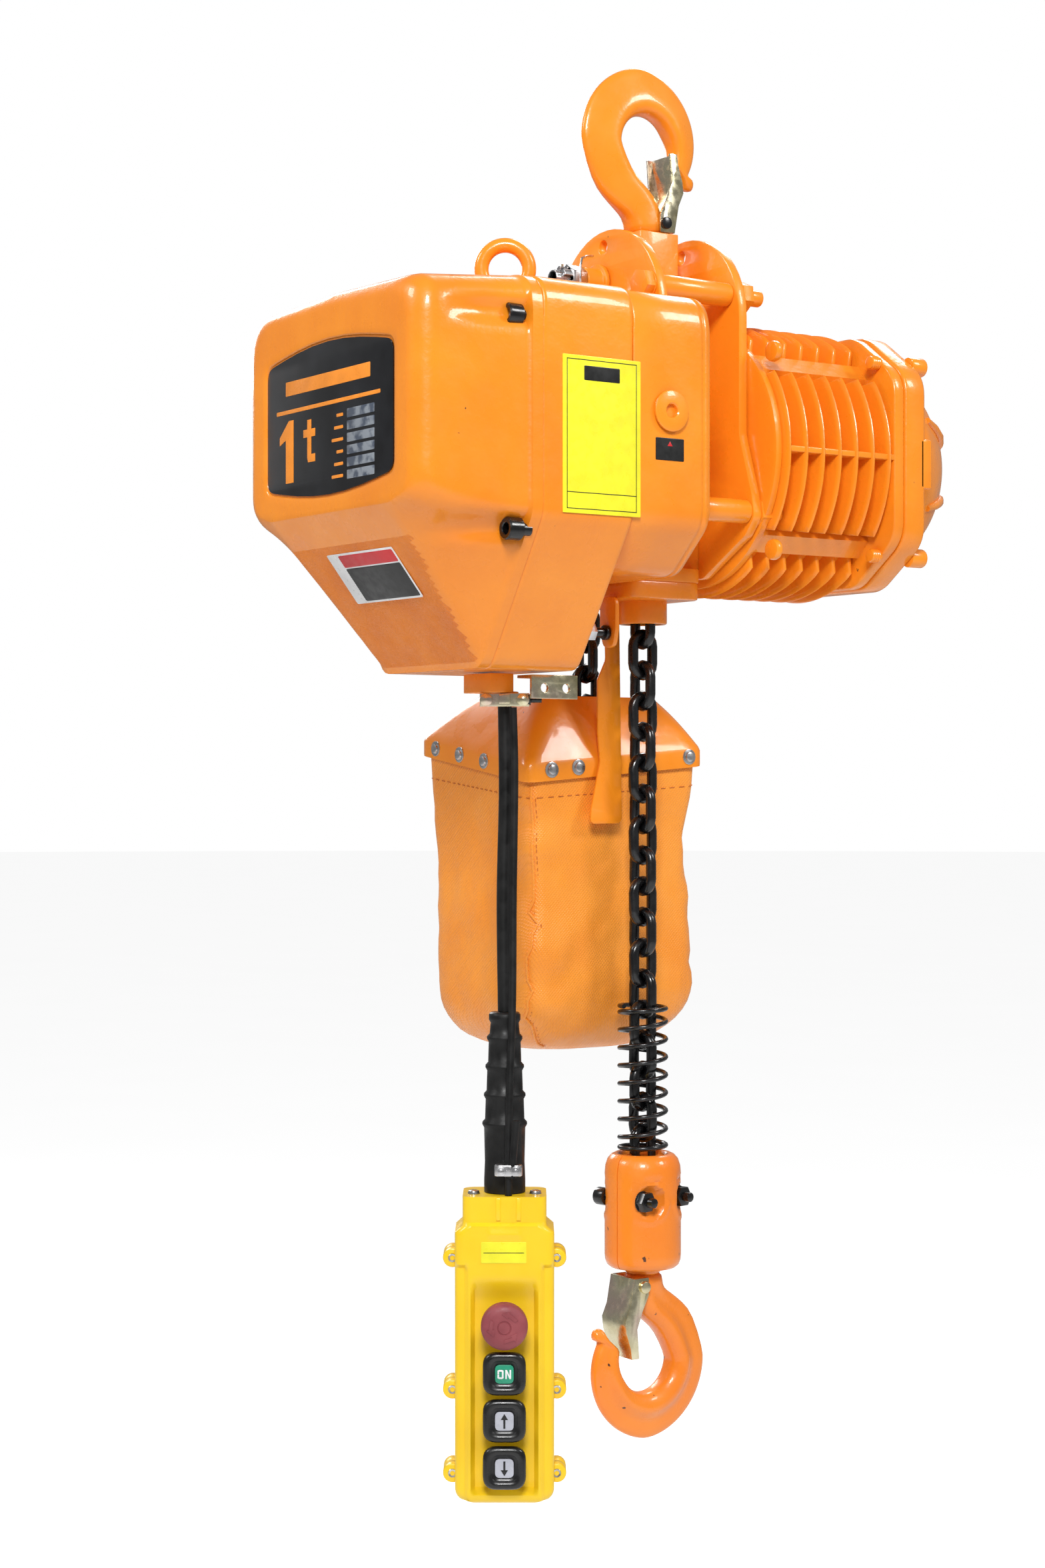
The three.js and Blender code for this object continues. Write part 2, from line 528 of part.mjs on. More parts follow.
// the links that lie round the wheel; the two end links are a little long, to clear the hanging runs
const wrap = [];
const slip = 0.4;
for (let k = -1; k <= 6; k += 1) {
  const even = Math.abs(k) % 2 === 0;
  const made = link(chain.wire + 0.5, k === -1 || k === 6 ? slip : 0).rotate(0, 0, even ? 0 : 90);
  if (k < 0) wrap.push(made.translate(0, 0, wheel.z - chain.pitch - slip));
  else if (k > 5) wrap.push(made.translate(0, slackY, wheel.z - chain.pitch - slip));
  else wrap.push(made.translate(0, -wheel.r, 0).rotate(-36 * k, 0, 0).translate(0, wheel.y, wheel.z));
}
piece('chain_on_wheel', BLACK, join(...wrap));

// ---- hook block, buffer spring and lower hook ----------------------------------------------------
const turnBlock = (body) => body.rotate(0, 0, block.twist);
const blockProfile = [[0, block.bottom], [block.r - 7, block.bottom], [block.r, block.bottom + 7],
  [block.r, block.top - 14], [block.r - 10, block.top], [0, block.top]];
const endLink = wheel.z - chain.pitch * strand.last;
const blockCore = turned('z', [0, 0, 0], blockProfile, 20)
  .subtract(rod('z', [0, 0, 0], 13.2, endLink - 21, block.top + 5, 16))
  .subtract(rod('z', [0, 0, 0], 19.5, -767.5, -744, 16))
  .subtract(rod('z', [0, 0, 0], 13.6, block.bottom - 5, -760, 16));
const BOLTS = [{ name: 'left', x: -18.5 }, { name: 'right', x: 18.5 }];
const boltZ = -736;
const bolted = BOLTS.reduce((body, b) => body
  .subtract(rod('y', [b.x, 0, boltZ], 3.6, -40, 40, 12))
  .subtract(rod('y', [b.x, 0, boltZ], 7.6, -40, -12, 12))
  .subtract(rod('y', [b.x, 0, boltZ], 6.6, 12, 40, 12)), blockCore);
const halfSpace = (side) => box(-40, 40, side < 0 ? -40 : 0.15, side < 0 ? -0.15 : 40,
  block.bottom - 5, block.top + 5);
for (const [name, side] of [['hook_block_near', -1], ['hook_block_far', 1]]) {
  piece(name, ORANGE, turnBlock(bolted.intersect(halfSpace(side))));
}
for (const b of BOLTS) {
  piece(`block_bolt_${b.name}`, BLACK, turnBlock(join(
    rod('y', [b.x, 0, boltZ], 3.3, -24, 22, 12),
    rod('y', [b.x, 0, boltZ], 6.6, -19, -12.4, 6),
    rod('y', [b.x, 0, boltZ], 6, 12.4, 24, 12),
  )));
}
const coil = { r: 15.9, wire: 1.6, turns: 8, top: -605.6, bottom: block.top + 2 };
const coilPath = Array.from({ length: coil.turns * 8 + 1 }, (_, i) => {
  const a = i * 2 * PI / 8;
  const t = i / (coil.turns * 8);
  return [coil.r * Math.cos(a), coil.r * Math.sin(a), coil.bottom + (coil.top - coil.bottom) * t];
});
piece('buffer_spring', BLACK, tube(coilPath, coil.wire, coil.turns * 8, 5));

const lower = new THREE.Group();
lower.position.set(0, 0, saddle);
const swivelHead = join(
  rod('z', [0, 0, 0], hook.neck, hook.neckTop - 1.1, 104, 16),
  rod('z', [0, 0, 0], 18.8, 103, 120, 16),
);
const faceTip = (body) => body.mirror([1, 0, 0]);
piece('bottom_hook', ORANGE, join(faceTip(hookSolid()), swivelHead), lower);
piece('bottom_latch', ZINC, faceTip(latchSolid()), lower);
hoist.add(lower);

// ---- chain bag ------------------------------------------------------------------------------------
const rect = (x0, x1, y0, y1, z) => {
  const level = typeof z === 'function' ? z : () => z;
  const c = 7;
  return [[x0 + c, y0], [x1 - c, y0], [x1, y0 + c], [x1, y1 - c], [x1 - c, y1], [x0 + c, y1], [x0, y1 - c],
    [x0, y0 + c]].map(([x, y]) => [x, y, level(x, y)]);
};
// the lower edge of the hood dips towards the near left corner
const dip = (z) => (x, y) => z + 0.147 * (y - bag.y0) + 0.08 * (x - bag.x0);
const hoodOuter = loft([
  rect(bag.x0, bag.x1, bag.y0, bag.y1, dip(-454.5)),
  rect(bag.x0 + 1, bag.x1 - 1, bag.y0 + 1, bag.y1 - 1, dip(-441)),
  rect(bag.x0 + 30, bag.x1 - 22, bag.y0 + 20, bag.y1 - 25, (x, y) => -396 + 0.05 * (y - bag.y0)),
]);
const hoodInner = loft([
  rect(bag.x0 + 2, bag.x1 - 2, bag.y0 + 2, bag.y1 - 2, dip(-460)),
  rect(bag.x0 + 3, bag.x1 - 3, bag.y0 + 3, bag.y1 - 3, dip(-443)),
  rect(bag.x0 + 32, bag.x1 - 24, bag.y0 + 22, bag.y1 - 27, -390),
]);
piece('bag_hood', ORANGE, hoodOuter.subtract(hoodInner));
const inside = (d, z) => rect(bag.x0 + d, bag.x1 - d, bag.y0 + d, bag.y1 - d, z);
const lining = bag.gap + bag.cloth;
const clothOuter = loft([
  rect(bag.x0 + bag.gap, bag.x1 - bag.gap, bag.y0 + bag.gap, bag.y1 - bag.gap, dip(-446)),
  rect(bag.x0 + bag.gap, bag.x1 - bag.gap, bag.y0 + bag.gap, bag.y1 - bag.gap, -600),
  rect(bag.x0 + bag.gap + 3, bag.x1 - bag.gap - 4, bag.y0 + bag.gap + 4, bag.y1 - bag.gap - 6, -625),
  rect(bag.x0 + 24, bag.x1 - 26, bag.y0 + 24, bag.y1 - 26, -642),
]);
const clothInner = loft([
  inside(lining, dip(-440)),
  inside(lining, -598),
  rect(bag.x0 + bag.gap + 6, bag.x1 - bag.gap - 7, bag.y0 + bag.gap + 7, bag.y1 - bag.gap - 9, -622),
  rect(bag.x0 + 26, bag.x1 - 28, bag.y0 + 26, bag.y1 - 28, -639),
]);
piece('bag_cloth', CLOTH, clothOuter.subtract(clothInner));
// pressed strip that carries the hood, from the chain guide down past the hood's near edge
const strip = prism('x', [[14.6, -331.4], [16.6, -331.4], [16.6, -458], [15.2, -482], [13.2, -482],
  [14.6, -458]], -36, -9);
piece('bag_hanger', ORANGE, strip);

// ---- pendant cable outlet -------------------------------------------------------------------------
const bracketAngle = join(
  box(bracket.x0, bracket.x1, bracket.y0, bracket.y0 + 2.5, bracket.z0, bracket.z1),
  box(bracket.x0, bracket.x1, bracket.y0, bracket.y1, bracket.z1 - 2, bracket.z1),
);
piece('cable_bracket', ZINC, bracket.holes.reduce(
  (body, x) => body.subtract(rod('y', [x, 0, -393], 3, -60, -20, 10)), bracketAngle));
piece('cable_gland', ORANGE, join(
  box(gland.x0, gland.x1, gland.y0, gland.y1, gland.neck, gland.top),
  rod('z', [pendant.x, pendant.y, 0], gland.r, gland.tip, gland.neck + 1, 14),
));
const local = new THREE.Group();
local.position.set(pendant.x, pendant.y, 0);
local.rotation.z = pendant.yaw * PI / 180;
piece('cable_clamp', ZINC, join(
  box(-16, 16, -13, -9.6, -405, -396.4),
  box(-3.5, 3.5, -15, -12.9, -403, -397),
), local);

piece('pendant_cable', RUBBER, tube([[0, 0, cable.top], [0.6, 0, -460], [-0.8, 0, -530],
  [0, 0, cable.bottom + GAP]], cable.r, 12, 8), local);
piece('strain_wire', RUBBER, tube([[5.5, -11.8, -405.4], [6.5, -10, -450], [5.5, -10, -530], [5, -13, -600],
  [3, -17.2, -660], [2.5, -17.5, pendant.top + GAP]], strain.r, 20, 6), local);
const bootRings = [];
for (let i = 0; i < 5; i += 1) {
  const z = -624 - 18 * i;
  const r = 10.2 + 0.75 * i;
  bootRings.push([r, z + 3], [r + 1.6, z + 1.2], [r + 1.6, z - 1.2], [r + 0.2, z - 3]);
}
const bootProfile = [[0, cable.bottom], [9.4, cable.bottom], [9.9, cable.bottom - 4], ...bootRings,
  [13.5, -708], [13.5, pendant.top + GAP], [0, pendant.top + GAP]];
piece('pendant_boot', RUBBER, turned('z', [0, 0, 0], bootProfile, 12), local);

const ears = [];
for (const z of [-761, -846, -900]) {
  for (const s of [-1, 1]) ears.push([s * 33.7, z]);
}
const shellOutline = (c, half) => [[pendant.bottom, -half + c], [pendant.bottom, half - c],
  [pendant.bottom + c, half], [-742, half], [-737, 27], [pendant.top, 27], [pendant.top, -27], [-737, -27],
  [-742, -half], [pendant.bottom + c, -half]];
function pendantHalf(y0, y1, i0, i1) {
  const outer = prism('y', shellOutline(8, pendant.half), y0, y1);
  const withEars = ears.reduce((a, [x, z]) => a.add(box(x - 6, x + 6, Math.max(y0, -12),
    Math.min(y1, 12), z - 5.5, z + 5.5)), outer);
  return withEars.subtract(box(-26, 26, i0, i1, pendant.bottom + 5, -745));
}
const BUTTONS = [
  { name: 'e_stop', z: -800, r: 15 },
  { name: 'on_button', z: -831, size: 12.2 },
  { name: 'up_button', z: -861, size: 12.2 },
  { name: 'down_button', z: -891, size: 12.2 },
];
const stems = BUTTONS.map((b) => rod('y', [0, 0, b.z], 6.3, -40, 0, 12));
const frontHalf = pendantHalf(-25, -GAP / 2, -21.5, 4);
piece('pendant_front', YELLOW, stems.reduce((a, b) => a.subtract(b), frontHalf), local);
piece('pendant_back', YELLOW, pendantHalf(GAP / 2, 24, -4, 20.5), local);
piece('switch_block', BLACK, box(-20, 20, 2, 14, -905, -785), local);
for (const b of BUTTONS) {
  const cap = b.size ? box(-b.size, b.size, -36, -30, b.z - b.size, b.z + b.size)
    : rod('y', [0, 0, b.z], b.r, -44, -33, 18);
  const stem = rod('y', [0, 0, b.z], 5.9, b.size ? -31 : -34, -8, 12);
  piece(b.name, b.size ? BLACK : RED, join(cap, stem), local);
}
hoist.add(local);

export default hoist;
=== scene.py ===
"""Looks for the electric chain hoist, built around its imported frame.

Shapes are worked out in millimetres, in the frame's own axes, and turned into metres when a piece
is made. +Z is up the load line, +X runs along the motor and -Y is the operator's side.
"""

import json
import math

import bmesh
import bpy
import numpy as np
from mathutils import Matrix, Vector, noise

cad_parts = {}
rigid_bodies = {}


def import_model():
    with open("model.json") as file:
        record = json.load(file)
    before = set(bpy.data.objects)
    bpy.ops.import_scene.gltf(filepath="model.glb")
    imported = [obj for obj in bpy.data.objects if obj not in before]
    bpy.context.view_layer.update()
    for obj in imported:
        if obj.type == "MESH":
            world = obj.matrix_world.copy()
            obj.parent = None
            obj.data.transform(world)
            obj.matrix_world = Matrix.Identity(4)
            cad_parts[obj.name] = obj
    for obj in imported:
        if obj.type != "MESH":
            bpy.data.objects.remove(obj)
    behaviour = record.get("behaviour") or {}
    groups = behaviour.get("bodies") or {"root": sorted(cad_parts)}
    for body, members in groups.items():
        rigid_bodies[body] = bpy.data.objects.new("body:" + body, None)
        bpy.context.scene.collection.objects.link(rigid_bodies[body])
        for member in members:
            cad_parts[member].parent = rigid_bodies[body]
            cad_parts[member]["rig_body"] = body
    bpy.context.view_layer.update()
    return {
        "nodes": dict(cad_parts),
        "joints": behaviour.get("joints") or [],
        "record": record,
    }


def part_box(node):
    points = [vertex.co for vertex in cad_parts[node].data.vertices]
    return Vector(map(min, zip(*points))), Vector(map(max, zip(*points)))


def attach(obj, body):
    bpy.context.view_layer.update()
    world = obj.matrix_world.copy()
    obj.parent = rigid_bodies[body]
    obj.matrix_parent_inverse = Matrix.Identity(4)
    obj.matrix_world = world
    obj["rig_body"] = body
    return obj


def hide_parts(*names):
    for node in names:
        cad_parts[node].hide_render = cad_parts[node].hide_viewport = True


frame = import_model()
MM = 0.001
TURN = 2 * math.pi


# ---- places taken from the frame ----
def mm_box(node):
    """A CAD node's box in millimetres, as (x0, y0, z0, x1, y1, z1)."""
    low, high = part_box(node)
    return [v / MM for v in (*low, *high)]


def joint_at(name):
    found = next(j for j in frame["joints"] if j["name"] == name)
    return Vector(found["pos_m"]) / MM


MOTOR = joint_at("rotor_spin")
PIN = joint_at("yoke_rock")
SWING = joint_at("pendant_swing")
UPPER_LATCH = joint_at("top_latch_hinge")
LOWER_LATCH = joint_at("bottom_latch_hinge")
COVER = mm_box("control_cover")
BASE = mm_box("control_base")
GEARBOX = mm_box("gearbox_housing")
HOUSING = mm_box("motor_housing")
END_COVER = mm_box("motor_end_cover")
LEFT_PLATE = mm_box("left_plate")
RIGHT_PLATE = mm_box("right_plate")
GUIDE = mm_box("chain_guide")
BLOCK = mm_box("hook_block_near")
SPRING = mm_box("buffer_spring")
HOOD = mm_box("bag_hood")
STRIP = mm_box("bag_hanger")

# ---- camera, before anything else ----
YAW = math.radians(34)                       # how far the view is turned from straight along +Y
LOOK = Vector((math.sin(YAW), math.cos(YAW), 0))
RIGHT = Vector((math.cos(YAW), -math.sin(YAW), 0))
DISTANCE, SIDE, EYE = 1.818, 0.082, -0.455   # from the load line, along and across the view, and height
LENS = 61.22


def make_camera():
    data = bpy.data.cameras.new("camera")
    data.lens = LENS
    data.sensor_width = 36
    data.clip_end = 60
    camera = bpy.data.objects.new("camera", data)
    camera.location = -LOOK * DISTANCE - RIGHT * SIDE + Vector((0, 0, EYE))
    camera.rotation_euler = (math.pi / 2, 0, -YAW)
    bpy.context.scene.collection.objects.link(camera)
    bpy.context.scene.camera = camera


make_camera()


# ---- materials ----
class Finish:
    """A Principled material with node-made colour variation, roughness variation and bump."""

    def __init__(self, name, color, roughness, metallic=0.0, coat=0.0):
        self.made = bpy.data.materials.new(name)
        self.made.use_nodes = True
        self.nodes = self.made.node_tree.nodes
        self.links = self.made.node_tree.links
        self.shader = self.nodes["Principled BSDF"]
        self.shader.inputs["Base Color"].default_value = (*color, 1)
        self.shader.inputs["Roughness"].default_value = roughness
        self.shader.inputs["Metallic"].default_value = metallic
        self.shader.inputs["Coat Weight"].default_value = coat
        self.shader.inputs["Coat Roughness"].default_value = 0.06
        self.place = self.nodes.new("ShaderNodeTexCoord").outputs["Object"]
        self.height = None

    def noise(self, scale, detail=3.0, place=None):
        node = self.nodes.new("ShaderNodeTexNoise")
        node.inputs["Scale"].default_value = scale
        node.inputs["Detail"].default_value = detail
        self.links.new(place or self.place, node.inputs["Vector"])
        return node.outputs["Fac"]

    def ramp(self, value, stops):
        node = self.nodes.new("ShaderNodeValToRGB")
        ramp = node.color_ramp
        while len(ramp.elements) < len(stops):
            ramp.elements.new(0.5)
        for element, (at, color) in zip(ramp.elements, stops):
            element.position = at
            element.color = (*color, 1)
        self.links.new(value, node.inputs["Fac"])
        return node.outputs["Color"]

    def tint(self, scale, stops, detail=3.0):
        color = self.ramp(self.noise(scale, detail), stops)
        self.links.new(color, self.shader.inputs["Base Color"])
        return color

    def rough(self, scale, low, high):
        node = self.nodes.new("ShaderNodeMapRange")
        node.inputs["From Min"].default_value = 0.35
        node.inputs["From Max"].default_value = 0.65
        node.inputs["To Min"].default_value = low
        node.inputs["To Max"].default_value = high
        self.links.new(self.noise(scale), node.inputs["Value"])
        self.links.new(node.outputs["Result"], self.shader.inputs["Roughness"])

    def bump(self, value, distance, strength=1.0):
        node = self.nodes.new("ShaderNodeBump")
        node.inputs["Distance"].default_value = distance
        node.inputs["Strength"].default_value = strength
        self.links.new(value, node.inputs["Height"])
        if self.height:
            self.links.new(self.height, node.inputs["Normal"])
        self.height = node.outputs["Normal"]
        self.links.new(self.height, self.shader.inputs["Normal"])

    def specks(self, color, under, scale, at, width=0.015):
        """Small chips where a fine noise passes a level; under is the colour beneath them."""
        node = self.nodes.new("ShaderNodeMix")
        node.data_type = "RGBA"
        level = self.ramp(self.noise(scale, 6.0), [(at, (0, 0, 0)), (at + width, (1, 1, 1))])
        self.links.new(level, node.inputs["Factor"])
        self.links.new(under, node.inputs["A"])
        node.inputs["B"].default_value = (*color, 1)
        self.links.new(node.outputs["Result"], self.shader.inputs["Base Color"])


def make_finishes():
    finishes = {}

    def enamel(name, low, high, peel, chips=0.76):
        f = Finish(name, high, 0.3, coat=0.4)
        f.shader.inputs["Specular IOR Level"].default_value = 0.4
        color = f.tint(14, [(0.3, low), (0.7, high)])
        f.specks((0.09, 0.03, 0.012), color, 120, chips)
        f.rough(60, 0.24, 0.4)
        f.bump(f.noise(260, 2), peel)
        f.bump(f.noise(1500, 2), peel * 0.12)
        return f.made

    finishes["orange_enamel"] = enamel("orange_enamel", (0.86, 0.25, 0.01), (0.95, 0.31, 0.016), 0.00014)
    finishes["orange_casting"] = enamel("orange_casting", (0.84, 0.235, 0.01), (0.94, 0.3, 0.015), 0.00022)
    finishes["orange_worn"] = enamel("orange_worn", (0.84, 0.21, 0.014), (0.92, 0.27, 0.024), 0.00026, 0.71)

    # name, colour, roughness, extras, tint, roughness pattern, bumps as (scale, detail, height)
    for name, color, roughness, extras, tint, rough, bumps in (
        # the sandcast finish has a rougher cast grain, and its darker colour is painted shade for the cover's downward
        # faces
        ("sandcast_painted_shade", (0.84, 0.23, 0.012), 0.5, {},
         (24, [(0.3, (0.74, 0.18, 0.01)), (0.7, (0.86, 0.24, 0.014))]), (90, 0.42, 0.6), ((700, 4, 0.0009), (120, 3, 0.0006))),
        ("blackened_steel", (0.004, 0.004, 0.0045), 0.26, {"coat": 0.2},
         (90, [(0.35, (0.002, 0.002, 0.0025)), (0.75, (0.008, 0.008, 0.009))]), (140, 0.18, 0.34),
         ((200, 2, 0.00005),)),
        ("yellow_zinc", (0.5, 0.4, 0.16), 0.22, {"metallic": 1.0},
         (30, [(0.3, (0.5, 0.43, 0.22)), (0.48, (0.78, 0.72, 0.5)), (0.62, (0.74, 0.58, 0.48)),
               (0.76, (0.5, 0.54, 0.3))], 2), (220, 0.14, 0.34), ((500, 2, 0.00002),)),
        ("machined_steel", (0.56, 0.56, 0.57), 0.28, {"metallic": 1.0},
         (70, [(0.3, (0.46, 0.46, 0.47)), (0.7, (0.66, 0.66, 0.67))]), (180, 0.2, 0.38), ((900, 3, 0.00003),)),
        ("windings", (0.4, 0.14, 0.05), 0.4, {"metallic": 0.7},
         (60, [(0.3, (0.32, 0.1, 0.035)), (0.7, (0.5, 0.19, 0.07))]), None, ((500, 2, 0.0002),)),
        ("pendant_yellow", (0.93, 0.6, 0.008), 0.34, {"coat": 0.15},
         (18, [(0.3, (0.88, 0.55, 0.006)), (0.7, (0.95, 0.63, 0.012))]), (90, 0.28, 0.42), ((900, 2, 0.00006),)),
        ("black_plastic", (0.004, 0.004, 0.004), 0.3, {"coat": 0.15},
         (80, [(0.3, (0.002, 0.002, 0.002)), (0.7, (0.007, 0.007, 0.0075))]), (150, 0.22, 0.4),
         ((1200, 2, 0.00004),)),
        ("red_plastic", (0.26, 0.045, 0.055), 0.55, {},
         (60, [(0.3, (0.21, 0.035, 0.045)), (0.7, (0.33, 0.07, 0.08))]), (240, 0.45, 0.66), ((1400, 3, 0.00006),)),
        ("nameplate_black", (0.004, 0.004, 0.005), 0.14, {"coat": 0.3},
         (30, [(0.35, (0.002, 0.002, 0.003)), (0.75, (0.012, 0.013, 0.016))]), (40, 0.1, 0.26), ()),
        ("silver_field", (0.55, 0.6, 0.68), 0.25, {"metallic": 0.8},
         (120, [(0.4, (0.2, 0.24, 0.32)), (0.56, (0.62, 0.68, 0.76))]), None, ()),
    ):
        f = Finish(name, color, roughness, **extras)
        f.tint(*tint)
        if rough:
            f.rough(*rough)
        for scale, detail, height in bumps:
            f.bump(f.noise(scale, detail), height)
        finishes[name] = f.made

    f = Finish("black_rubber", (0.005, 0.005, 0.005), 0.5)
    f.shader.inputs["Specular IOR Level"].default_value = 0.3
    f.tint(70, [(0.3, (0.003, 0.003, 0.003)), (0.75, (0.012, 0.012, 0.012))])
    f.rough(110, 0.34, 0.6)
    f.bump(f.noise(600, 4), 0.00006)
    finishes["black_rubber"] = f.made

    finishes["orange_cloth"] = make_cloth_finish()
    for name, color, roughness in (
        ("label_yellow", (0.92, 0.86, 0.03), 0.3), ("label_black", (0.012, 0.012, 0.012), 0.35),
        ("label_red", (0.62, 0.02, 0.025), 0.35), ("label_white", (0.82, 0.82, 0.82), 0.32),
        ("print_orange", (0.93, 0.3, 0.03), 0.3), ("insert_green", (0.02, 0.3, 0.17), 0.28),
        ("insert_grey", (0.48, 0.49, 0.55), 0.28), ("stitching", (0.5, 0.13, 0.02), 0.8),
    ):
        f = Finish(name, color, roughness)
        dark = tuple(0.88 * c for c in color)
        f.tint(80, [(0.35, dark), (0.65, color)])
        f.rough(200, roughness - 0.06, roughness + 0.08)
        finishes[name] = f.made

    return finishes


def make_cloth_finish():
    """Coated cloth: a fine diagonal weave pressed through a satin coating."""
    f = Finish("orange_cloth", (0.9, 0.3, 0.03), 0.4, coat=0.12)
    f.shader.inputs["Sheen Weight"].default_value = 0.08
    f.tint(22, [(0.3, (0.86, 0.27, 0.018)), (0.7, (0.94, 0.33, 0.03))])
    f.rough(50, 0.3, 0.46)
    turned = f.nodes.new("ShaderNodeMapping")
    turned.inputs["Rotation"].default_value = (math.radians(38), math.radians(38), 0)
    f.links.new(f.place, turned.inputs["Vector"])
    waves = []
    for direction in ("X", "Z"):
        wave = f.nodes.new("ShaderNodeTexWave")
        wave.bands_direction = direction
        wave.inputs["Scale"].default_value = 210
        wave.inputs["Distortion"].default_value = 0.4
        f.links.new(turned.outputs["Vector"], wave.inputs["Vector"])
        waves.append(wave.outputs["Fac"])
    weave = f.nodes.new("ShaderNodeMath")
    weave.operation = "MULTIPLY"
    f.links.new(waves[0], weave.inputs[0])
    f.links.new(waves[1], weave.inputs[1])
    f.bump(weave.outputs["Value"], 0.00022)
    f.bump(f.noise(40, 4), 0.0006)
    return f.made


FINISH = make_finishes()


# ---- shapes, in millimetres ----
def on_axis(axis, along, u, v):
    """A point from a place along an axis and the two coordinates across it."""
    if axis == "x":
        return (along, u, v)
    if axis == "y":
        return (u, along, v)
    return (u, v, along)


class Shape:
    def __init__(self):
        self.points = []
        self.faces = []

    def add(self, points, faces):
        start = len(self.points)
        self.points += [tuple(p) for p in points]
        self.faces += [tuple(start + i for i in face) for face in faces]
        return self

    def merge(self, other):
        return self.add(other.points, other.faces)

    def moved(self, matrix):
        self.points = [tuple(matrix @ Vector(p)) for p in self.points]
        return self

    def loft(self, rings, closed=False, caps=True):
        n = len(rings[0])
        faces = []
        for k in range(len(rings) if closed else len(rings) - 1):
            a, b = k * n, ((k + 1) % len(rings)) * n
            faces += [(a + i, a + (i + 1) % n, b + (i + 1) % n, b + i) for i in range(n)]
        if caps and not closed:
            last = (len(rings) - 1) * n
            faces += [tuple(range(n))[::-1], tuple(range(last, last + n))]
        return self.add([p for ring in rings for p in ring], faces)

    def lathe(self, axis, centre, profile, segments=40):
        """profile is [(radius, place along the axis), ...]; radii at its ends may be zero."""
        rings = []
        for radius, along in profile:
            ring = []
            for i in range(segments):
                a = TURN * i / segments
                r = max(radius, 0.02)
                x, y, z = on_axis(axis, along, r * math.cos(a), r * math.sin(a))
                ring.append((x + centre[0], y + centre[1], z + centre[2]))
            rings.append(ring)
        return self.loft(rings)

    def rod(self, axis, centre, radius, low, high, edge=0.6, segments=32):
        edge = min(edge, radius * 0.5, (high - low) * 0.4)
        profile = [(0, low), (radius - edge, low), (radius - 0.3 * edge, low + 0.3 * edge), (radius, low + edge),
                   (radius, high - edge), (radius - 0.3 * edge, high - 0.3 * edge), (radius - edge, high),
                   (0, high)]
        return self.lathe(axis, centre, profile, segments)

    def hexagon(self, axis, centre, across, low, high, start=0.0):
        corner = across / math.sqrt(3)
        outline = [(corner * math.cos(start + TURN * i / 6), corner * math.sin(start + TURN * i / 6))
                   for i in range(6)]
        body = slab(axis, outline, low, high, bevel=0.5)
        return self.merge(body.moved(Matrix.Translation(centre)))

    def tube(self, path, radius, sides=10, closed=False):
        points = [Vector(p) for p in path]
        count = len(points)
        rings = []
        side = None
        for i, point in enumerate(points):
            before = points[i - 1] if closed or i else point
            after = points[(i + 1) % count] if closed or i < count - 1 else point
            ahead = (after - before).normalized()
            if side is None:
                side = ahead.orthogonal()
            side = (side - ahead * side.dot(ahead)).normalized()
            across = ahead.cross(side)
            r = radius[i] if isinstance(radius, (list, tuple)) else radius
            rings.append([tuple(point + r * (math.cos(TURN * k / sides) * side
                          + math.sin(TURN * k / sides) * across)) for k in range(sides)])
        return self.loft(rings, closed=closed)

    def box(self, low, high, edge=0.8):
        """A block with rounded edges along Z and softened ends."""
        outline = rounded([(low[0], low[1]), (high[0], low[1]), (high[0], high[1]), (low[0], high[1])],
                          max(edge, 0.3))
        return self.merge(slab("z", outline, low[2], high[2], bevel=min(edge, 0.4 * (high[2] - low[2]))))


def rounded(corners, radius, steps=5):
    """A closed outline with each corner rounded; radius is one number or one for each corner."""
    count = len(corners)
    radii = radius if isinstance(radius, (list, tuple)) else [radius] * count
    outline = []
    for i, r in enumerate(radii):
        corner, before, after = Vector(corners[i]), Vector(corners[i - 1]), Vector(corners[(i + 1) % count])
        to_before, to_after = (before - corner), (after - corner)
        angle = to_before.angle(to_after) if r > 0 else math.pi
        if r <= 0 or abs(math.pi - angle) < 0.01:
            outline.append(tuple(corner))
            continue
        reach = min(r / math.tan(angle / 2), 0.48 * to_before.length, 0.48 * to_after.length)
        start, end = corner + to_before.normalized() * reach, corner + to_after.normalized() * reach
        for k in range(steps + 1):
            t = k / steps
            outline.append(tuple(start * (1 - t) ** 2 + corner * 2 * t * (1 - t) + end * t * t))
    return outline


def by_angle(outline, centre, count):
    """The same outline as one point for each of count equal angles around a centre."""
    p = np.array(outline, float) - np.array(centre, float)
    q = np.roll(p, -1, axis=0)
    found = []
    for i in range(count):
        a = TURN * i / count
        d = np.array((math.cos(a), math.sin(a)))
        e = q - p
        cross = d[0] * e[:, 1] - d[1] * e[:, 0]
        cross = np.where(np.abs(cross) < 1e-9, 1e-9, cross)
        t = (p[:, 0] * e[:, 1] - p[:, 1] * e[:, 0]) / cross
        s = (p[:, 0] * d[1] - p[:, 1] * d[0]) / cross
        good = t[(s > -1e-6) & (s < 1 + 1e-6) & (t > 0)]
        r = good.max() if len(good) else 1.0
        found.append((centre[0] + r * d[0], centre[1] + r * d[1]))
    return found


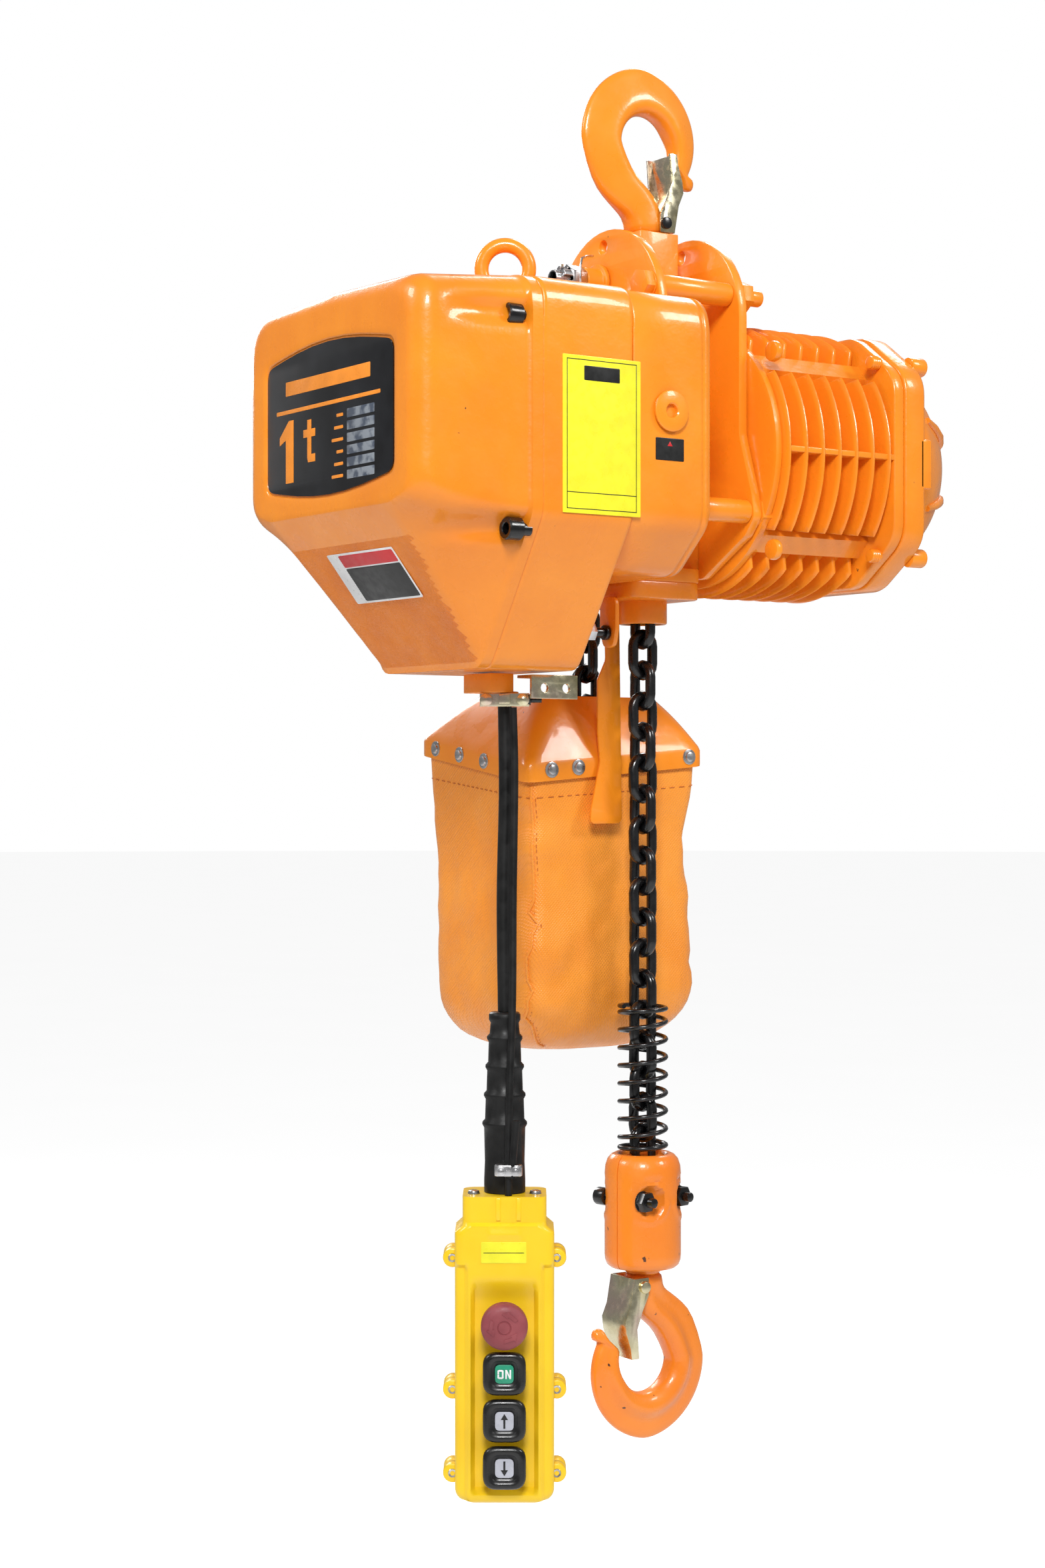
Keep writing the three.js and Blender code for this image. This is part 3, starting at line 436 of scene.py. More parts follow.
def slab(axis, outline, low, high, holes=(), bevel=0.6):
    """A flat plate with holes and softened edges, between two places along an axis."""
    curve = bpy.data.curves.new("outline", "CURVE")
    curve.dimensions = "2D"
    curve.fill_mode = "BOTH"
    bevel = min(bevel, 0.45 * (high - low))
    curve.extrude = (high - low) / 2 - bevel
    curve.bevel_depth = bevel
    curve.bevel_resolution = 1
    curve.offset = -bevel
    for path in (outline, *holes):
        spline = curve.splines.new("POLY")
        spline.points.add(len(path) - 1)
        for point, (u, v) in zip(spline.points, path):
            point.co = (u, v, 0, 1)
        spline.use_cyclic_u = True
    holder = bpy.data.objects.new("outline", curve)
    bpy.context.scene.collection.objects.link(holder)
    graph = bpy.context.evaluated_depsgraph_get()
    mesh = bpy.data.meshes.new_from_object(holder.evaluated_get(graph))
    middle = (low + high) / 2
    made = Shape().add([on_axis(axis, middle + v.co.z, v.co.x, v.co.y) for v in mesh.vertices],
                       [tuple(f.vertices) for f in mesh.polygons])
    bpy.data.objects.remove(holder)
    bpy.data.curves.remove(curve)
    bpy.data.meshes.remove(mesh)
    return made


def circle(u, v, r, steps=28):
    return [(u + r * math.cos(TURN * i / steps), v + r * math.sin(TURN * i / steps)) for i in range(steps)]


# ---- making pieces ----
def dress(obj, body, slot, finish=None, stands_for=(), sharp=38):
    mesh = obj.data
    work = bmesh.new()
    work.from_mesh(mesh)
    bmesh.ops.remove_doubles(work, verts=work.verts, dist=1e-6)
    bmesh.ops.recalc_face_normals(work, faces=work.faces)
    work.to_mesh(mesh)
    work.free()
    mesh.materials.clear()
    mesh.materials.append(FINISH[finish or slot])
    mesh.shade_smooth()
    mesh.set_sharp_from_angle(angle=math.radians(sharp))
    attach(obj, body)
    if stands_for:
        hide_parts(*stands_for)
    return obj


def make(name, shape, body, slot, finish=None, stands_for=(), sharp=38, modify=None):
    mesh = bpy.data.meshes.new(name)
    mesh.from_pydata([tuple(c * MM for c in p) for p in shape.points], [], shape.faces)
    obj = bpy.data.objects.new(name, mesh)
    bpy.context.scene.collection.objects.link(obj)
    if modify:
        modify(obj)
        apply_modifiers(obj)
    return dress(obj, body, slot, finish, stands_for, sharp)


def apply_modifiers(obj):
    bpy.context.view_layer.update()
    graph = bpy.context.evaluated_depsgraph_get()
    mesh = bpy.data.meshes.new_from_object(obj.evaluated_get(graph))
    obj.modifiers.clear()
    obj.data = mesh


def subdivided(levels):
    def modify(obj):
        made = obj.modifiers.new("smooth", "SUBSURF")
        made.levels = levels
        made.render_levels = levels
    return modify


def softened(node, slot, width=0.5, finish=None):
    """A CAD node's own shape with its edges rounded over."""
    source = frame["nodes"][node]
    obj = bpy.data.objects.new(node + "_finished", source.data.copy())
    bpy.context.scene.collection.objects.link(obj)
    work = bmesh.new()
    work.from_mesh(obj.data)
    bmesh.ops.remove_doubles(work, verts=work.verts, dist=2e-5)
    bmesh.ops.dissolve_limit(work, angle_limit=math.radians(2), verts=work.verts, edges=work.edges)
    work.to_mesh(obj.data)
    work.free()
    bevel = obj.modifiers.new("edges", "BEVEL")
    bevel.width = width * MM
    bevel.segments = 2
    bevel.limit_method = "ANGLE"
    bevel.angle_limit = math.radians(38)
    apply_modifiers(obj)
    return dress(obj, source["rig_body"], slot, finish, (node,))


# ---- pendant frame ----
PENDANT = Matrix.Translation((SWING.x, SWING.y, 0)) @ Matrix.Rotation(-YAW, 4, "Z")
CABLE_ROUTE = [(0, 0, -404.3), (0.6, 0, -460), (-0.8, 0, -530), (0, 0, -602.7)]
STRAIN_ROUTE = [(5.5, -11.8, -405.4), (6.5, -10, -450), (5.5, -10, -530), (5, -13, -600), (3, -17.2, -660),
                (2.5, -17.5, -719.7)]


def smooth_route(points, count):
    """Points along one smooth curve through a given route."""
    p = [Vector(points[0]) * 2 - Vector(points[1]), *map(Vector, points),
         Vector(points[-1]) * 2 - Vector(points[-2])]
    found = []
    for i in range(count):
        s = i / (count - 1) * (len(points) - 1)
        k = min(int(s), len(points) - 2)
        t = s - k
        a, b, c, d = p[k:k + 4]
        found.append(0.5 * (2 * b + (c - a) * t + (2 * a - 5 * b + 4 * c - d) * t ** 2
                            + (3 * b - a - 3 * c + d) * t ** 3))
    return [PENDANT @ v for v in found]


def cord(name, route, radius, count, stands_for):
    path = smooth_route(route, count)
    curve = bpy.data.curves.new(name, "CURVE")
    curve.dimensions = "3D"
    curve.bevel_depth = radius * MM
    curve.bevel_resolution = 4
    curve.use_fill_caps = True
    spline = curve.splines.new("POLY")
    spline.points.add(len(path) - 1)
    for point, place in zip(spline.points, path):
        point.co = (*(place * MM), 1)
    curve.materials.append(FINISH["black_rubber"])
    obj = bpy.data.objects.new(name, curve)
    bpy.context.scene.collection.objects.link(obj)
    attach(obj, "pendant")
    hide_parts(stands_for)
    length = sum((b - a).length for a, b in zip(path, path[1:])) * MM


cord("pendant_flex", CABLE_ROUTE, 4.5, 24, "pendant_cable")
cord("strain_line", STRAIN_ROUTE, 2.4, 32, "strain_wire")


# ---- body shells ----
AROUND = 240                                       # points round a body section
HUB = (MOTOR.y, -235.0)
SKIN = 117.4                                       # half width of the body
SCREW_Z = (-170.0, -300.0)


def section(x, half, top, shoulder, crease, foot, bottom, radii=(20, 16, 12)):
    right = [(half, shoulder), (half, crease), (foot, bottom)]
    corners = [(MOTOR.y + y, z) for y, z in right]
    corners += [(MOTOR.y - y, z) for y, z in right[::-1]]
    corners.append((MOTOR.y, top))
    outline = rounded(corners, [*radii, *radii[::-1], 0], 7)
    return [(x, y, z) for y, z in by_angle(outline, HUB, AROUND)]


def blend(a, b, t):
    return [p + (q - p) * t for p, q in zip(a, b)]


SEAM_SECTION = (SKIN, -140.6, -143.5, -290, 58, -382.6)
BROW_SECTION = (109.0, -144.0, -148.0, -284, 71, -304)
FACE_X, BROW_X, SEAM_X = COVER[0], COVER[0] + 15, COVER[3]


def cover_ring(x):
    lip = SEAM_X - 7.5
    if x >= lip:
        values = SEAM_SECTION
    else:
        t = (lip - x) / (lip - BROW_X)
        values = blend([SEAM_SECTION[0] - 2, *SEAM_SECTION[1:5], SEAM_SECTION[5] + 2], BROW_SECTION, min(t, 1))
        values[1] -= 1.2
    if x < BROW_X:
        s = (BROW_X - x) / (BROW_X - FACE_X)
        tuck = 15 * (1 - math.sqrt(max(0, 1 - s * s)))
        half, top, shoulder, crease, foot, bottom = values
        values = (half - tuck, top - 0.8 * tuck, shoulder - 0.8 * tuck, crease + 0.5 * tuck,
                  foot + 0.3 * tuck, bottom + 19 * s)
    ring = section(x, *values, radii=(24, 20, 12))
    return [trough(p) for p in ring]


def trough(point):
    """Shallow channels that run forward from the four cover screws."""
    x, y, z = point
    if abs(y - MOTOR.y) < 70 or x > SEAM_X - 7.5:
        return point
    inward = 1 if y < MOTOR.y else -1
    fade = min(1, max(0, (x - BROW_X - 3) / 26)) ** 0.7
    depth = 0.0
    for level in SCREW_Z:
        off = abs(z - level - 1) / 12
        depth = max(depth, 6.2 * fade * math.cos(min(1, off) * math.pi / 2) ** 2)
    return (x, y + inward * depth, z)


def plate_outline(grow):
    """Barrel-shaped outline of the front plate, as (y, z)."""
    wide, tall = 79 + grow, 40 + grow
    corners = []
    for i in range(9):
        t = i / 8
        corners.append((MOTOR.y - wide + 2 * wide * t, -226 + tall + 9 * math.sin(math.pi * t)))
    for i in range(9):
        t = i / 8
        corners.append((MOTOR.y + wide - 2 * wide * t, -226 - tall - 8 * math.sin(math.pi * t)))
    radii = [9 if i in (0, 8, 9, 17) else 0 for i in range(18)]
    return rounded(corners, radii, 5)


def control_cover():
    stations = [SEAM_X, SEAM_X - 1.2, SEAM_X - 6, SEAM_X - 7.4, SEAM_X - 9]
    stations += list(np.linspace(SEAM_X - 12, BROW_X, 18))
    stations += [BROW_X - 15 * math.sin(math.pi / 2 * i / 9) for i in range(1, 10)]
    rings = [cover_ring(x) for x in stations]
    last = rings[-1]
    for grow, x in ((6, FACE_X), (2.2, FACE_X + 0.1), (1.2, FACE_X + 0.6), (0.8, FACE_X + 1.7), (-6, FACE_X + 1.8)):
        edge = by_angle(plate_outline(grow), HUB, AROUND)
        rings.append([(x, y, z) for y, z in edge])
    rings.insert(-5, [tuple(Vector(a) * 0.5 + Vector(b) * 0.5) for a, b in zip(last, rings[-5])])
    shell_piece = make("cover_shell", Shape().loft(rings), "hoist", "orange_casting",
                       stands_for=("control_cover",), sharp=50)
    # the cover's downward faces get a second, darker finish: rougher cast grain, and painted shade on the underside
    shell_piece.data.materials.append(FINISH["sandcast_painted_shade"])
    for face in shell_piece.data.polygons:
        middle = face.center / MM
        if face.normal.z < -0.3 and abs(face.normal.y) < 0.3 and BROW_X < middle.x < SEAM_X - 10:
            face.material_index = 1


def control_base():
    rings = []
    for x, inset in ((BASE[0], 1.0), (BASE[0] + 1.2, 0), (BASE[0] + 3, 0), (BASE[3] - 30, 0), (BASE[3] - 3, 0),
                     (BASE[3] - 0.9, 0.2), (BASE[3], 1.0)):
        rings.append(section(x, SKIN - inset, -140.6 - inset, -143.5 - inset, -290, 58 - 0.4 * inset,
                             -382.6 + inset))
    make("base_shell", Shape().loft(rings), "hoist", "orange_casting", stands_for=("control_base",), sharp=50)


def gearbox():
    values = (SKIN, -141, -144, -290, 84, -321.5)
    inset_at = [(0.3, 0.8), (1.3, 0), (30, 0), (52, 0), (54, 0), (55, 0.8), (56, 0.8), (57, -0.1), (60, 0.4),
                (61.5, 2), (62.2, 5)]
    rings = []
    for step, inset in inset_at:
        half, top, shoulder, crease, foot, bottom = values
        rings.append(section(GEARBOX[0] + step, half - inset, top - inset, shoulder - inset, crease,
                             foot - inset, bottom + inset, radii=(26, 22, 22)))
    make("gearbox_shell", Shape().loft(rings), "hoist", "orange_casting", stands_for=("gearbox_housing",), sharp=50)


def body_trim():
    plug = mm_box("oil_plug")
    centre = ((plug[0] + plug[3]) / 2, 0, (plug[2] + plug[5]) / 2)
    face = plug[1]
    r = (plug[3] - plug[0]) / 2
    profile = [(0, face + 8), (r - 3, face + 8), (r - 3, face + 2), (r, face + 2), (r, face + 0.9),
               (r - 0.9, face + 0.3), (5.2, face + 0.3), (4.4, face + 1), (4.2, face + 4.5), (0, face + 4.8)]
    make("plug_turned", Shape().lathe("y", centre, profile, 48), "hoist", "orange_enamel",
         stands_for=("oil_plug",))
    for i in range(1, 5):
        node = f"cover_screw_{i}"
        x0, y0, z0, x1, y1, z1 = mm_box(node)
        at = (0, (y0 + y1) / 2, (z0 + z1) / 2)
        profile = [(0, x0 + 6), (3.4, x0 + 5.4), (3.6, x0 + 0.8), (4.2, x0 + 0.2), (6.2, x0), (7, x0 + 0.9),
                   (7, x0 + 10), (4, x0 + 10.2), (4, x1), (0, x1)]
        make(f"cap_screw_{i}", Shape().lathe("x", at, profile, 32), "hoist", "blackened_steel",
             stands_for=(node,))
    eye = mm_box("eyebolt")
    cx, cy = -118.0, MOTOR.y
    ring_path = []
    for i in range(48):
        a = TURN * i / 48
        ring_path.append(RIGHT * 15.6 * math.cos(a) + Vector((cx, cy, -118 + 15.6 * math.sin(a))))
    ring = Shape().tube(ring_path, 4.8, 16, closed=True)
    seat = [(0, eye[2]), (6, eye[2]), (6, -141), (17, -140.6), (17.5, -139), (13.4, -138.2), (12.6, -136.6),
            (9.5, -135), (7.2, -131), (0, -129)]
    make("lifting_eye", ring.lathe("z", (cx, cy, 0), seat, 40), "hoist", "orange_enamel",
         stands_for=("eyebolt",))


control_cover()
control_base()
gearbox()
body_trim()


# ---- front plate and labels ----
def nameplate():
    x = FACE_X + 0.5
    make("plate_face", slab("x", plate_outline(-0.4), x, x + 1.2, bevel=0.3), "hoist", "nameplate_black",
         stands_for=("nameplate",))

    def patch(name, y0, y1, z0, z1, finish, raised=0.15):
        made = slab("x", rounded([(y0, z0), (y1, z0), (y1, z1), (y0, z1)], 0.6, 2), x - raised, x + 0.2, bevel=0.05)
        make(name, made, "hoist", "nameplate_black", finish)

    # the plate is read from -X, so its left side is at +Y
    left = MOTOR.y + 66
    patch("plate_bar", MOTOR.y - 64, left, -217.5, -215, "print_orange")
    one = [(left - 12, -262), (left - 22, -262), (left - 22, -222), (left - 16, -222), (left - 4, -232),
           (left - 4, -237), (left - 12, -234)]
    stem = left - 40
    tee = [(stem, -224), (stem - 5, -224), (stem - 5, -230), (stem - 10, -230), (stem - 10, -235),
           (stem - 5, -235), (stem - 5, -246), (stem - 10, -246), (stem - 10, -251), (stem - 1, -251),
           (stem, -248), (stem, -235), (stem + 5, -235), (stem + 5, -230), (stem, -230)]
    rating = slab("x", one, x - 0.15, x + 0.2, bevel=0.05).merge(slab("x", tee, x - 0.15, x + 0.2, bevel=0.05))
    make("plate_rating", rating, "hoist", "nameplate_black", "print_orange")
    for i in range(6):
        z = -222.5 - 7.6 * i
        patch(f"plate_field_{i}", MOTOR.y - 57, MOTOR.y - 24, z - 5.6, z, "silver_field")
        patch(f"plate_key_{i}", MOTOR.y - 19, MOTOR.y - 19 + 8 + 3 * (i % 3), z - 3.9, z - 1.9, "print_orange")
    patch("plate_heading", MOTOR.y - 52, left - 12, -206, -197, "print_orange")


def side_labels():
    y = MOTOR.y - SKIN - 0.35

    def patch(name, x0, x1, z0, z1, finish, lift, slot="orange_casting"):
        outline = rounded([(x0, z0), (x1, z0), (x1, z1), (x0, z1)], 0.6, 2)
        make(name, slab("y", outline, y - lift, y - lift + 0.4, bevel=0.05), "hoist", slot, finish)

    patch("caution_panel", -154, -95, -289, -192, "label_yellow", 0)
    border = Shape()
    for x0, x1, z0, z1 in ((-151, -98, -194.8, -194.3), (-151, -98, -286.4, -285.9), (-151, -150.5, -286.4, -194.3),
                           (-98.5, -98, -286.4, -194.3), (-151, -98, -276.4, -275.9)):
        border.merge(slab("y", [(x0, z0), (x1, z0), (x1, z1), (x0, z1)], y - 0.08, y + 0.1, bevel=0.02))
    make("caution_border", border, "hoist", "orange_casting", "label_black")
    patch("caution_header", -138, -111, -207, -198, "label_black", 0.08)
    patch("oil_label", -83, -61, -252, -238, "label_black", 0)
    arrow = slab("y", [(-74, -243), (-70, -243), (-72, -240)], y - 0.08, y + 0.1, bevel=0.02)
    make("oil_mark", arrow, "hoist", "orange_casting", "label_red")


def slant_label():
    """A plain three-colour label on the sloping lower face of the cover."""
    low = Vector((SEAM_X - 9, MOTOR.y, -380.2))
    high = Vector((BROW_X, MOTOR.y, -303.6))
    up = (high - low).normalized()
    out = Vector((up.z, 0, -up.x)) * -1
    if out.x > 0:
        out = -out
    middle = low + (high - low) * 0.74
    across = Vector((0, 1, 0))
    place = Matrix((
        (across.x, up.x, out.x, middle.x), (across.y, up.y, out.y, middle.y),
        (across.z, up.z, out.z, middle.z), (0, 0, 0, 1)))

    def patch(name, u0, u1, v0, v1, finish, lift):
        outline = rounded([(u0, v0), (u1, v0), (u1, v1), (u0, v1)], 1.2, 3)
        make(name, slab("z", outline, lift, lift + 0.35, bevel=0.05).moved(place), "hoist", "orange_casting",
             finish)

    patch("notice_panel", -47, 33, -19, 19, "label_white", 0.3)
    patch("notice_band", -45.5, 20, 8.5, 17.5, "label_red", 0.45)
    patch("notice_field", -45.5, 20, -17.5, 7.5, "label_black", 0.45)


nameplate()
side_labels()
slant_label()


# ---- suspension ----
CROWN = 60.0


def plate_shape(x0, x1):
    crown_z = LEFT_PLATE[5] - CROWN
    crown = [(MOTOR.y + CROWN * math.cos(math.pi - math.pi * i / 24), crown_z + CROWN * math.sin(math.pi * i / 24))
             for i in range(25)]
    far = [(MOTOR.y + 60, -222), (MOTOR.y + 112, -262), (MOTOR.y + 115, -278), (MOTOR.y + 105, -290),
           (MOTOR.y + 20, -316)]
    near = [(MOTOR.y - 20, -316), (MOTOR.y - 66, -290), (MOTOR.y - 76, -278), (MOTOR.y - 73, -262),
            (MOTOR.y - 60, -222)]
    corners = crown + far + near
    radii = [0] * 25 + [14, 9, 8, 9, 12] + [12, 9, 8, 9, 14]
    holes = [circle(PIN.y, PIN.z, 8.3), circle(MOTOR.y + 4, -94, 4.6), circle(33.42, -262, 13.2),
             circle(MOTOR.y, MOTOR.z, 9)]
    return slab("x", rounded(corners, radii, 5), x0, x1, holes, bevel=1.0)


def suspension():
    make("plate_left_cut", plate_shape(LEFT_PLATE[0], LEFT_PLATE[3]), "hoist", "orange_enamel",
         stands_for=("left_plate",))
    make("plate_right_cut", plate_shape(RIGHT_PLATE[0], RIGHT_PLATE[3]), "hoist", "orange_enamel",
         stands_for=("right_plate",))
    for name in ("upper_near", "upper_far", "lower_near", "lower_far"):
        node = "tie_bolt_" + name
        x0, y0, z0, x1, y1, z1 = mm_box(node)
        at = (0, (y0 + y1) / 2, (z0 + z1) / 2)
        tie = Shape().rod("x", at, 8, -29, 29, 0.8, 40)
        tie.hexagon("x", at, 18, RIGHT_PLATE[3] + 0.3, RIGHT_PLATE[3] + 9, 0.4)
        tie.rod("x", at, 5.6, RIGHT_PLATE[3] + 8, x1, 1.0)
        tie.rod("x", at, 10, LEFT_PLATE[0] - 1.2, LEFT_PLATE[0] - 0.3, 0.3)
        if name.startswith("upper"):
            tie.hexagon("x", at, 18, LEFT_PLATE[0] - 8, LEFT_PLATE[0] - 1.0, 0.2)
        make(node + "_turned", tie, "hoist", "orange_enamel", stands_for=(node,))
    softened("yoke_block", "orange_enamel", 2.2)
    softened("pin_washer", "orange_enamel", 0.6)
    softened("castle_nut", "orange_enamel", 0.5, "machined_steel")
    pin = mm_box("yoke_pin")
    stud = Shape().rod("x", (0, PIN.y, PIN.z), 5.4, pin[0], pin[0] + 24, 0.8)
    for i in range(9):
        stud.lathe("x", (0, PIN.y, PIN.z), [(5.2, pin[0] + 1 + 1.3 * i), (5.75, pin[0] + 1.5 + 1.3 * i),
                                           (5.2, pin[0] + 2 + 1.3 * i)], 24)
    make("pin_thread", stud, "hoist", "machined_steel")
    wire = [(-67, 0, 10), (-67, 0, -9), (-68.5, -3, -15), (-68, -4.5, -18.5), (-66.5, -3, -20), (-65.5, -0.5, -17),
            (-66, 1, -12)]
    split = [(x, PIN.y + y, PIN.z + z) for x, y, z in wire]
    make("split_pin", Shape().tube(split, 0.9, 8), "hoist", "yellow_zinc")
    hairpin = [(-61, -12.6, -13), (-61, -12.8, -2), (-60.5, -12.4, 8), (-58, -10.4, 13.4), (-52, -7, 16),
               (-44, -3, 17.6)]
    spring = [(x, PIN.y + y, PIN.z + z) for x, y, z in hairpin]
    make("hairpin", Shape().tube(spring, 0.8, 8), "hoist", "machined_steel")


suspension()


# ---- hooks ----
BOWL = 21.0


def smoothstep(a, b, x):
    t = min(1, max(0, (x - a) / (b - a)))
    return t * t * (3 - 2 * t)


def hook_ring(inner, outer, inner_half, outer_half, step):
    """One section across the forging: thick at the bowl, thinner at the back."""
    ring = []
    for k in range(28):
        a = TURN * k / 28
        w = 0.5 - 0.5 * math.cos(a)
        half = inner_half + (outer_half - inner_half) * smoothstep(step[0], step[1], w)
        edge = (1 - abs(2 * w - 1) ** 2.6) ** (1 / 2.6)
        t = half * edge * (1 if a <= math.pi else -1)
        ring.append((inner[0] + (outer[0] - inner[0]) * w, t, inner[1] + (outer[1] - inner[1]) * w))
    return ring


def hook_shape(step):
    """Shank up, bowl's inside bottom at the origin, tip towards +X."""
    def polar(angle, r):
        a = math.radians(angle)
        return (r * math.sin(a), BOWL - r * math.cos(a))

    def outer(angle):
        return 53.7 - 14.2 * (max(0, angle) / 120) ** 0.8 - 2.5 * min(max(0, -angle) / 90, 1)

    rings = [hook_ring((12.4, 83), (-12.4, 83), 12.4, 12.4, step),
             hook_ring((12.5, 74), (-12.8, 76), 12.4, 11.6, step),
             hook_ring((11.6, 65), (-15, 70), 12, 10, step),
             hook_ring((7, 54), (-22, 66), 11.5, 8, step),
             hook_ring((-4, 46), (-33, 58), 11.2, 6.4, step),
             hook_ring((-12, 39), (-42, 49), 11, 5.4, step)]
    for angle in range(-92, 117, 8):
        taper = max(0, angle - 60) / 56
        rings.append(hook_ring(polar(angle, BOWL + 3 * taper), polar(angle, outer(angle)), 11 - 3.4 * taper,
                               5 + 0.6 * taper, step))
    rings += [hook_ring((31.0, 39), (41.9, 38.4), 6.4, 5, step), hook_ring((33.0, 44), (42.2, 43.4), 5, 4.2, step),
              hook_ring((35.4, 47), (40.8, 46.8), 2.4, 2, step)]
    return Shape().loft(rings)


def hooks():
    flip = Matrix.Scale(-1, 4, (0, 0, 1))
    top = hook_shape((0.05, 0.95)).moved(flip)
    top.rod("z", (0, 0, 0), 10, -97.8, -81, 0.5).rod("z", (0, 0, 0), 9, -108.5, -97, 0.5)
    make("suspension_hook", top, "top_hook", "orange_enamel", stands_for=("top_hook",), sharp=60,
         modify=subdivided(1))
    turned = Matrix.Translation((0, 0, -869)) @ Matrix.Scale(-1, 4, (1, 0, 0))
    low = hook_shape((0.34, 0.6)).moved(turned)
    low.lathe("z", (0, 0, 0), [(0, -790), (12.6, -789), (12.9, -784), (12.9, -766), (18.6, -765.4), (18.8, -764),
                               (18.8, -750), (18, -749), (0, -749)], 40)
    make("load_hook", low, "bottom_hook", "orange_enamel", "orange_worn", ("bottom_hook",), 60, subdivided(1))
    softened("top_latch", "yellow_zinc", 0.5)
    softened("bottom_latch", "yellow_zinc", 0.5)
    for name, body, pivot, finish in (("top_latch_rivet", "top_latch", UPPER_LATCH, "blackened_steel"),
                                      ("bottom_latch_rivet", "bottom_latch", LOWER_LATCH, "yellow_zinc")):
        head = Shape()
        for side in (-1, 1):
            a, b = sorted((side * 13.8, side * 16.4))
            head.rod("y", (pivot.x, 0, pivot.z), 4.2, a, b, 1.2)
        make(name, head, body, "yellow_zinc", finish)


hooks()


# ---- chains, spring and hook block ----
WIRE, PITCH, WIDE = 7.1, 21.0, 23.6
WHEEL_Z, SLACK_Y = -262.0, 66.84
BLOCK_TURN = 12.0


def link_path(place):
    bend = (WIDE - WIRE) / 2
    reach = (PITCH + WIRE) / 2 - bend
    path = []
    for end in (1, -1):
        for i in range(9):
            a = (0 if end > 0 else math.pi) + math.pi * i / 8
            path.append(place @ Vector((0, bend * math.cos(a), bend * math.sin(a) + end * reach)))
    return path


def chain(name, y, first, last, flat_when_odd, twist, body, stands_for):
    made = Shape()
    for k in range(first, last + 1):
        flat = (k % 2 == 1) == flat_when_odd
        turn = (90 if flat else 0) + twist * (k - first) / (last - first)
        place = Matrix.Translation((0, y, WHEEL_Z - PITCH * k)) @ Matrix.Rotation(math.radians(turn), 4, "Z")
        made.tube(link_path(place), WIRE / 2, 12, closed=True)
    make(name, made, body, "blackened_steel", stands_for=(stands_for,), sharp=80)


def buffer_spring():
    """A compression spring with closed ends."""
    turns, closed_turns, steps = 9.5, 1.0, 28
    low, high, wire = SPRING[2] + 1.8, SPRING[5] - 1.8, 1.6
    gap = 3.3
    pitch = (high - low - 2 * gap * closed_turns) / (turns - 2 * closed_turns)
    path = []
    for i in range(int(turns * steps) + 1):
        t = i / steps
        if t < closed_turns:
            z = low + gap * t
        elif t > turns - closed_turns:
            z = high - gap * (turns - t)
        else:
            z = low + gap * closed_turns + pitch * (t - closed_turns)
        path.append((15.8 * math.cos(TURN * t), 15.8 * math.sin(TURN * t), z))
    make("spring_coil", Shape().tube(path, wire, 10), "hook_block", "blackened_steel",
         stands_for=("buffer_spring",), sharp=80)


def hook_block():
    top, bottom, r = BLOCK[5], BLOCK[2], 26.0
    bolts = (-18.5, 18.5)
    bolt_z = -736.0
    turn = Matrix.Rotation(math.radians(BLOCK_TURN), 4, "Z")
    levels = [(15.5, top - 3), (17, top - 0.6), (19, top), (21.5, top - 1.2), (24, top - 4), (25.5, top - 8.5),
              (r, top - 14)]
    levels += [(r, z) for z in np.linspace(top - 17, bottom + 9, 26)]
    levels += [(25.7, bottom + 5.5), (24.6, bottom + 2.6), (22.4, bottom + 0.7), (19.5, bottom), (14, bottom)]
    for name, side in (("near", -1), ("far", 1)):
        rings = []
        for radius, z in levels:
            ring = []
            for i in range(65):
                a = math.pi * i / 64
                x, y = radius * math.cos(a), radius * math.sin(a)
                y = max(y, 0.4)
                for at in bolts:
                    away = math.hypot(x - at, z - bolt_z)
                    pocket = 15.6 + max(0, away - 7.4) * 1.3
                    if away < 12 and y > pocket:
                        y = pocket
                slot = smoothstep(2.2, 0.4, abs(z - bolt_z - 12.5)) * smoothstep(7, 4, abs(abs(x) - 13))
                y -= 1.6 * slot
                rim = abs(math.hypot(abs(x) - 16, z - bolt_z) - 13)
                if z < bolt_z and y > 8:
                    y += 0.8 * smoothstep(2.5, 0.5, rim)
                ring.append((x, side * y, z))
            ring += [(radius * 0.98, side * 0.3, z), (-radius * 0.98, side * 0.3, z)][::-1]
            rings.append(ring)
        make(f"block_{name}_cast", Shape().loft(rings).moved(turn), "hook_block", "orange_casting", "orange_worn",
             (f"hook_block_{name}",), 45)
    for name, x in (("left", bolts[0]), ("right", bolts[1])):
        at = (x, 0, bolt_z)
        bolt = Shape().rod("y", at, 3.3, -27.4, 22, 0.8).hexagon("y", at, 12.4, -22, -15.8)
        bolt.rod("y", at, 7.2, -16.2, -15.5, 0.2).rod("y", at, 6, 15.6, 24.4, 0.8)
        make(f"block_{name}_fixing", bolt.moved(turn), "hook_block", "blackened_steel",
             stands_for=(f"block_bolt_{name}",))


chain("load_links", 0, 2, 21, True, BLOCK_TURN, "hook_block", "load_chain")
chain("slack_links", SLACK_Y, 2, 9, False, 0, "slack_chain", "slack_chain")
buffer_spring()
hook_block()


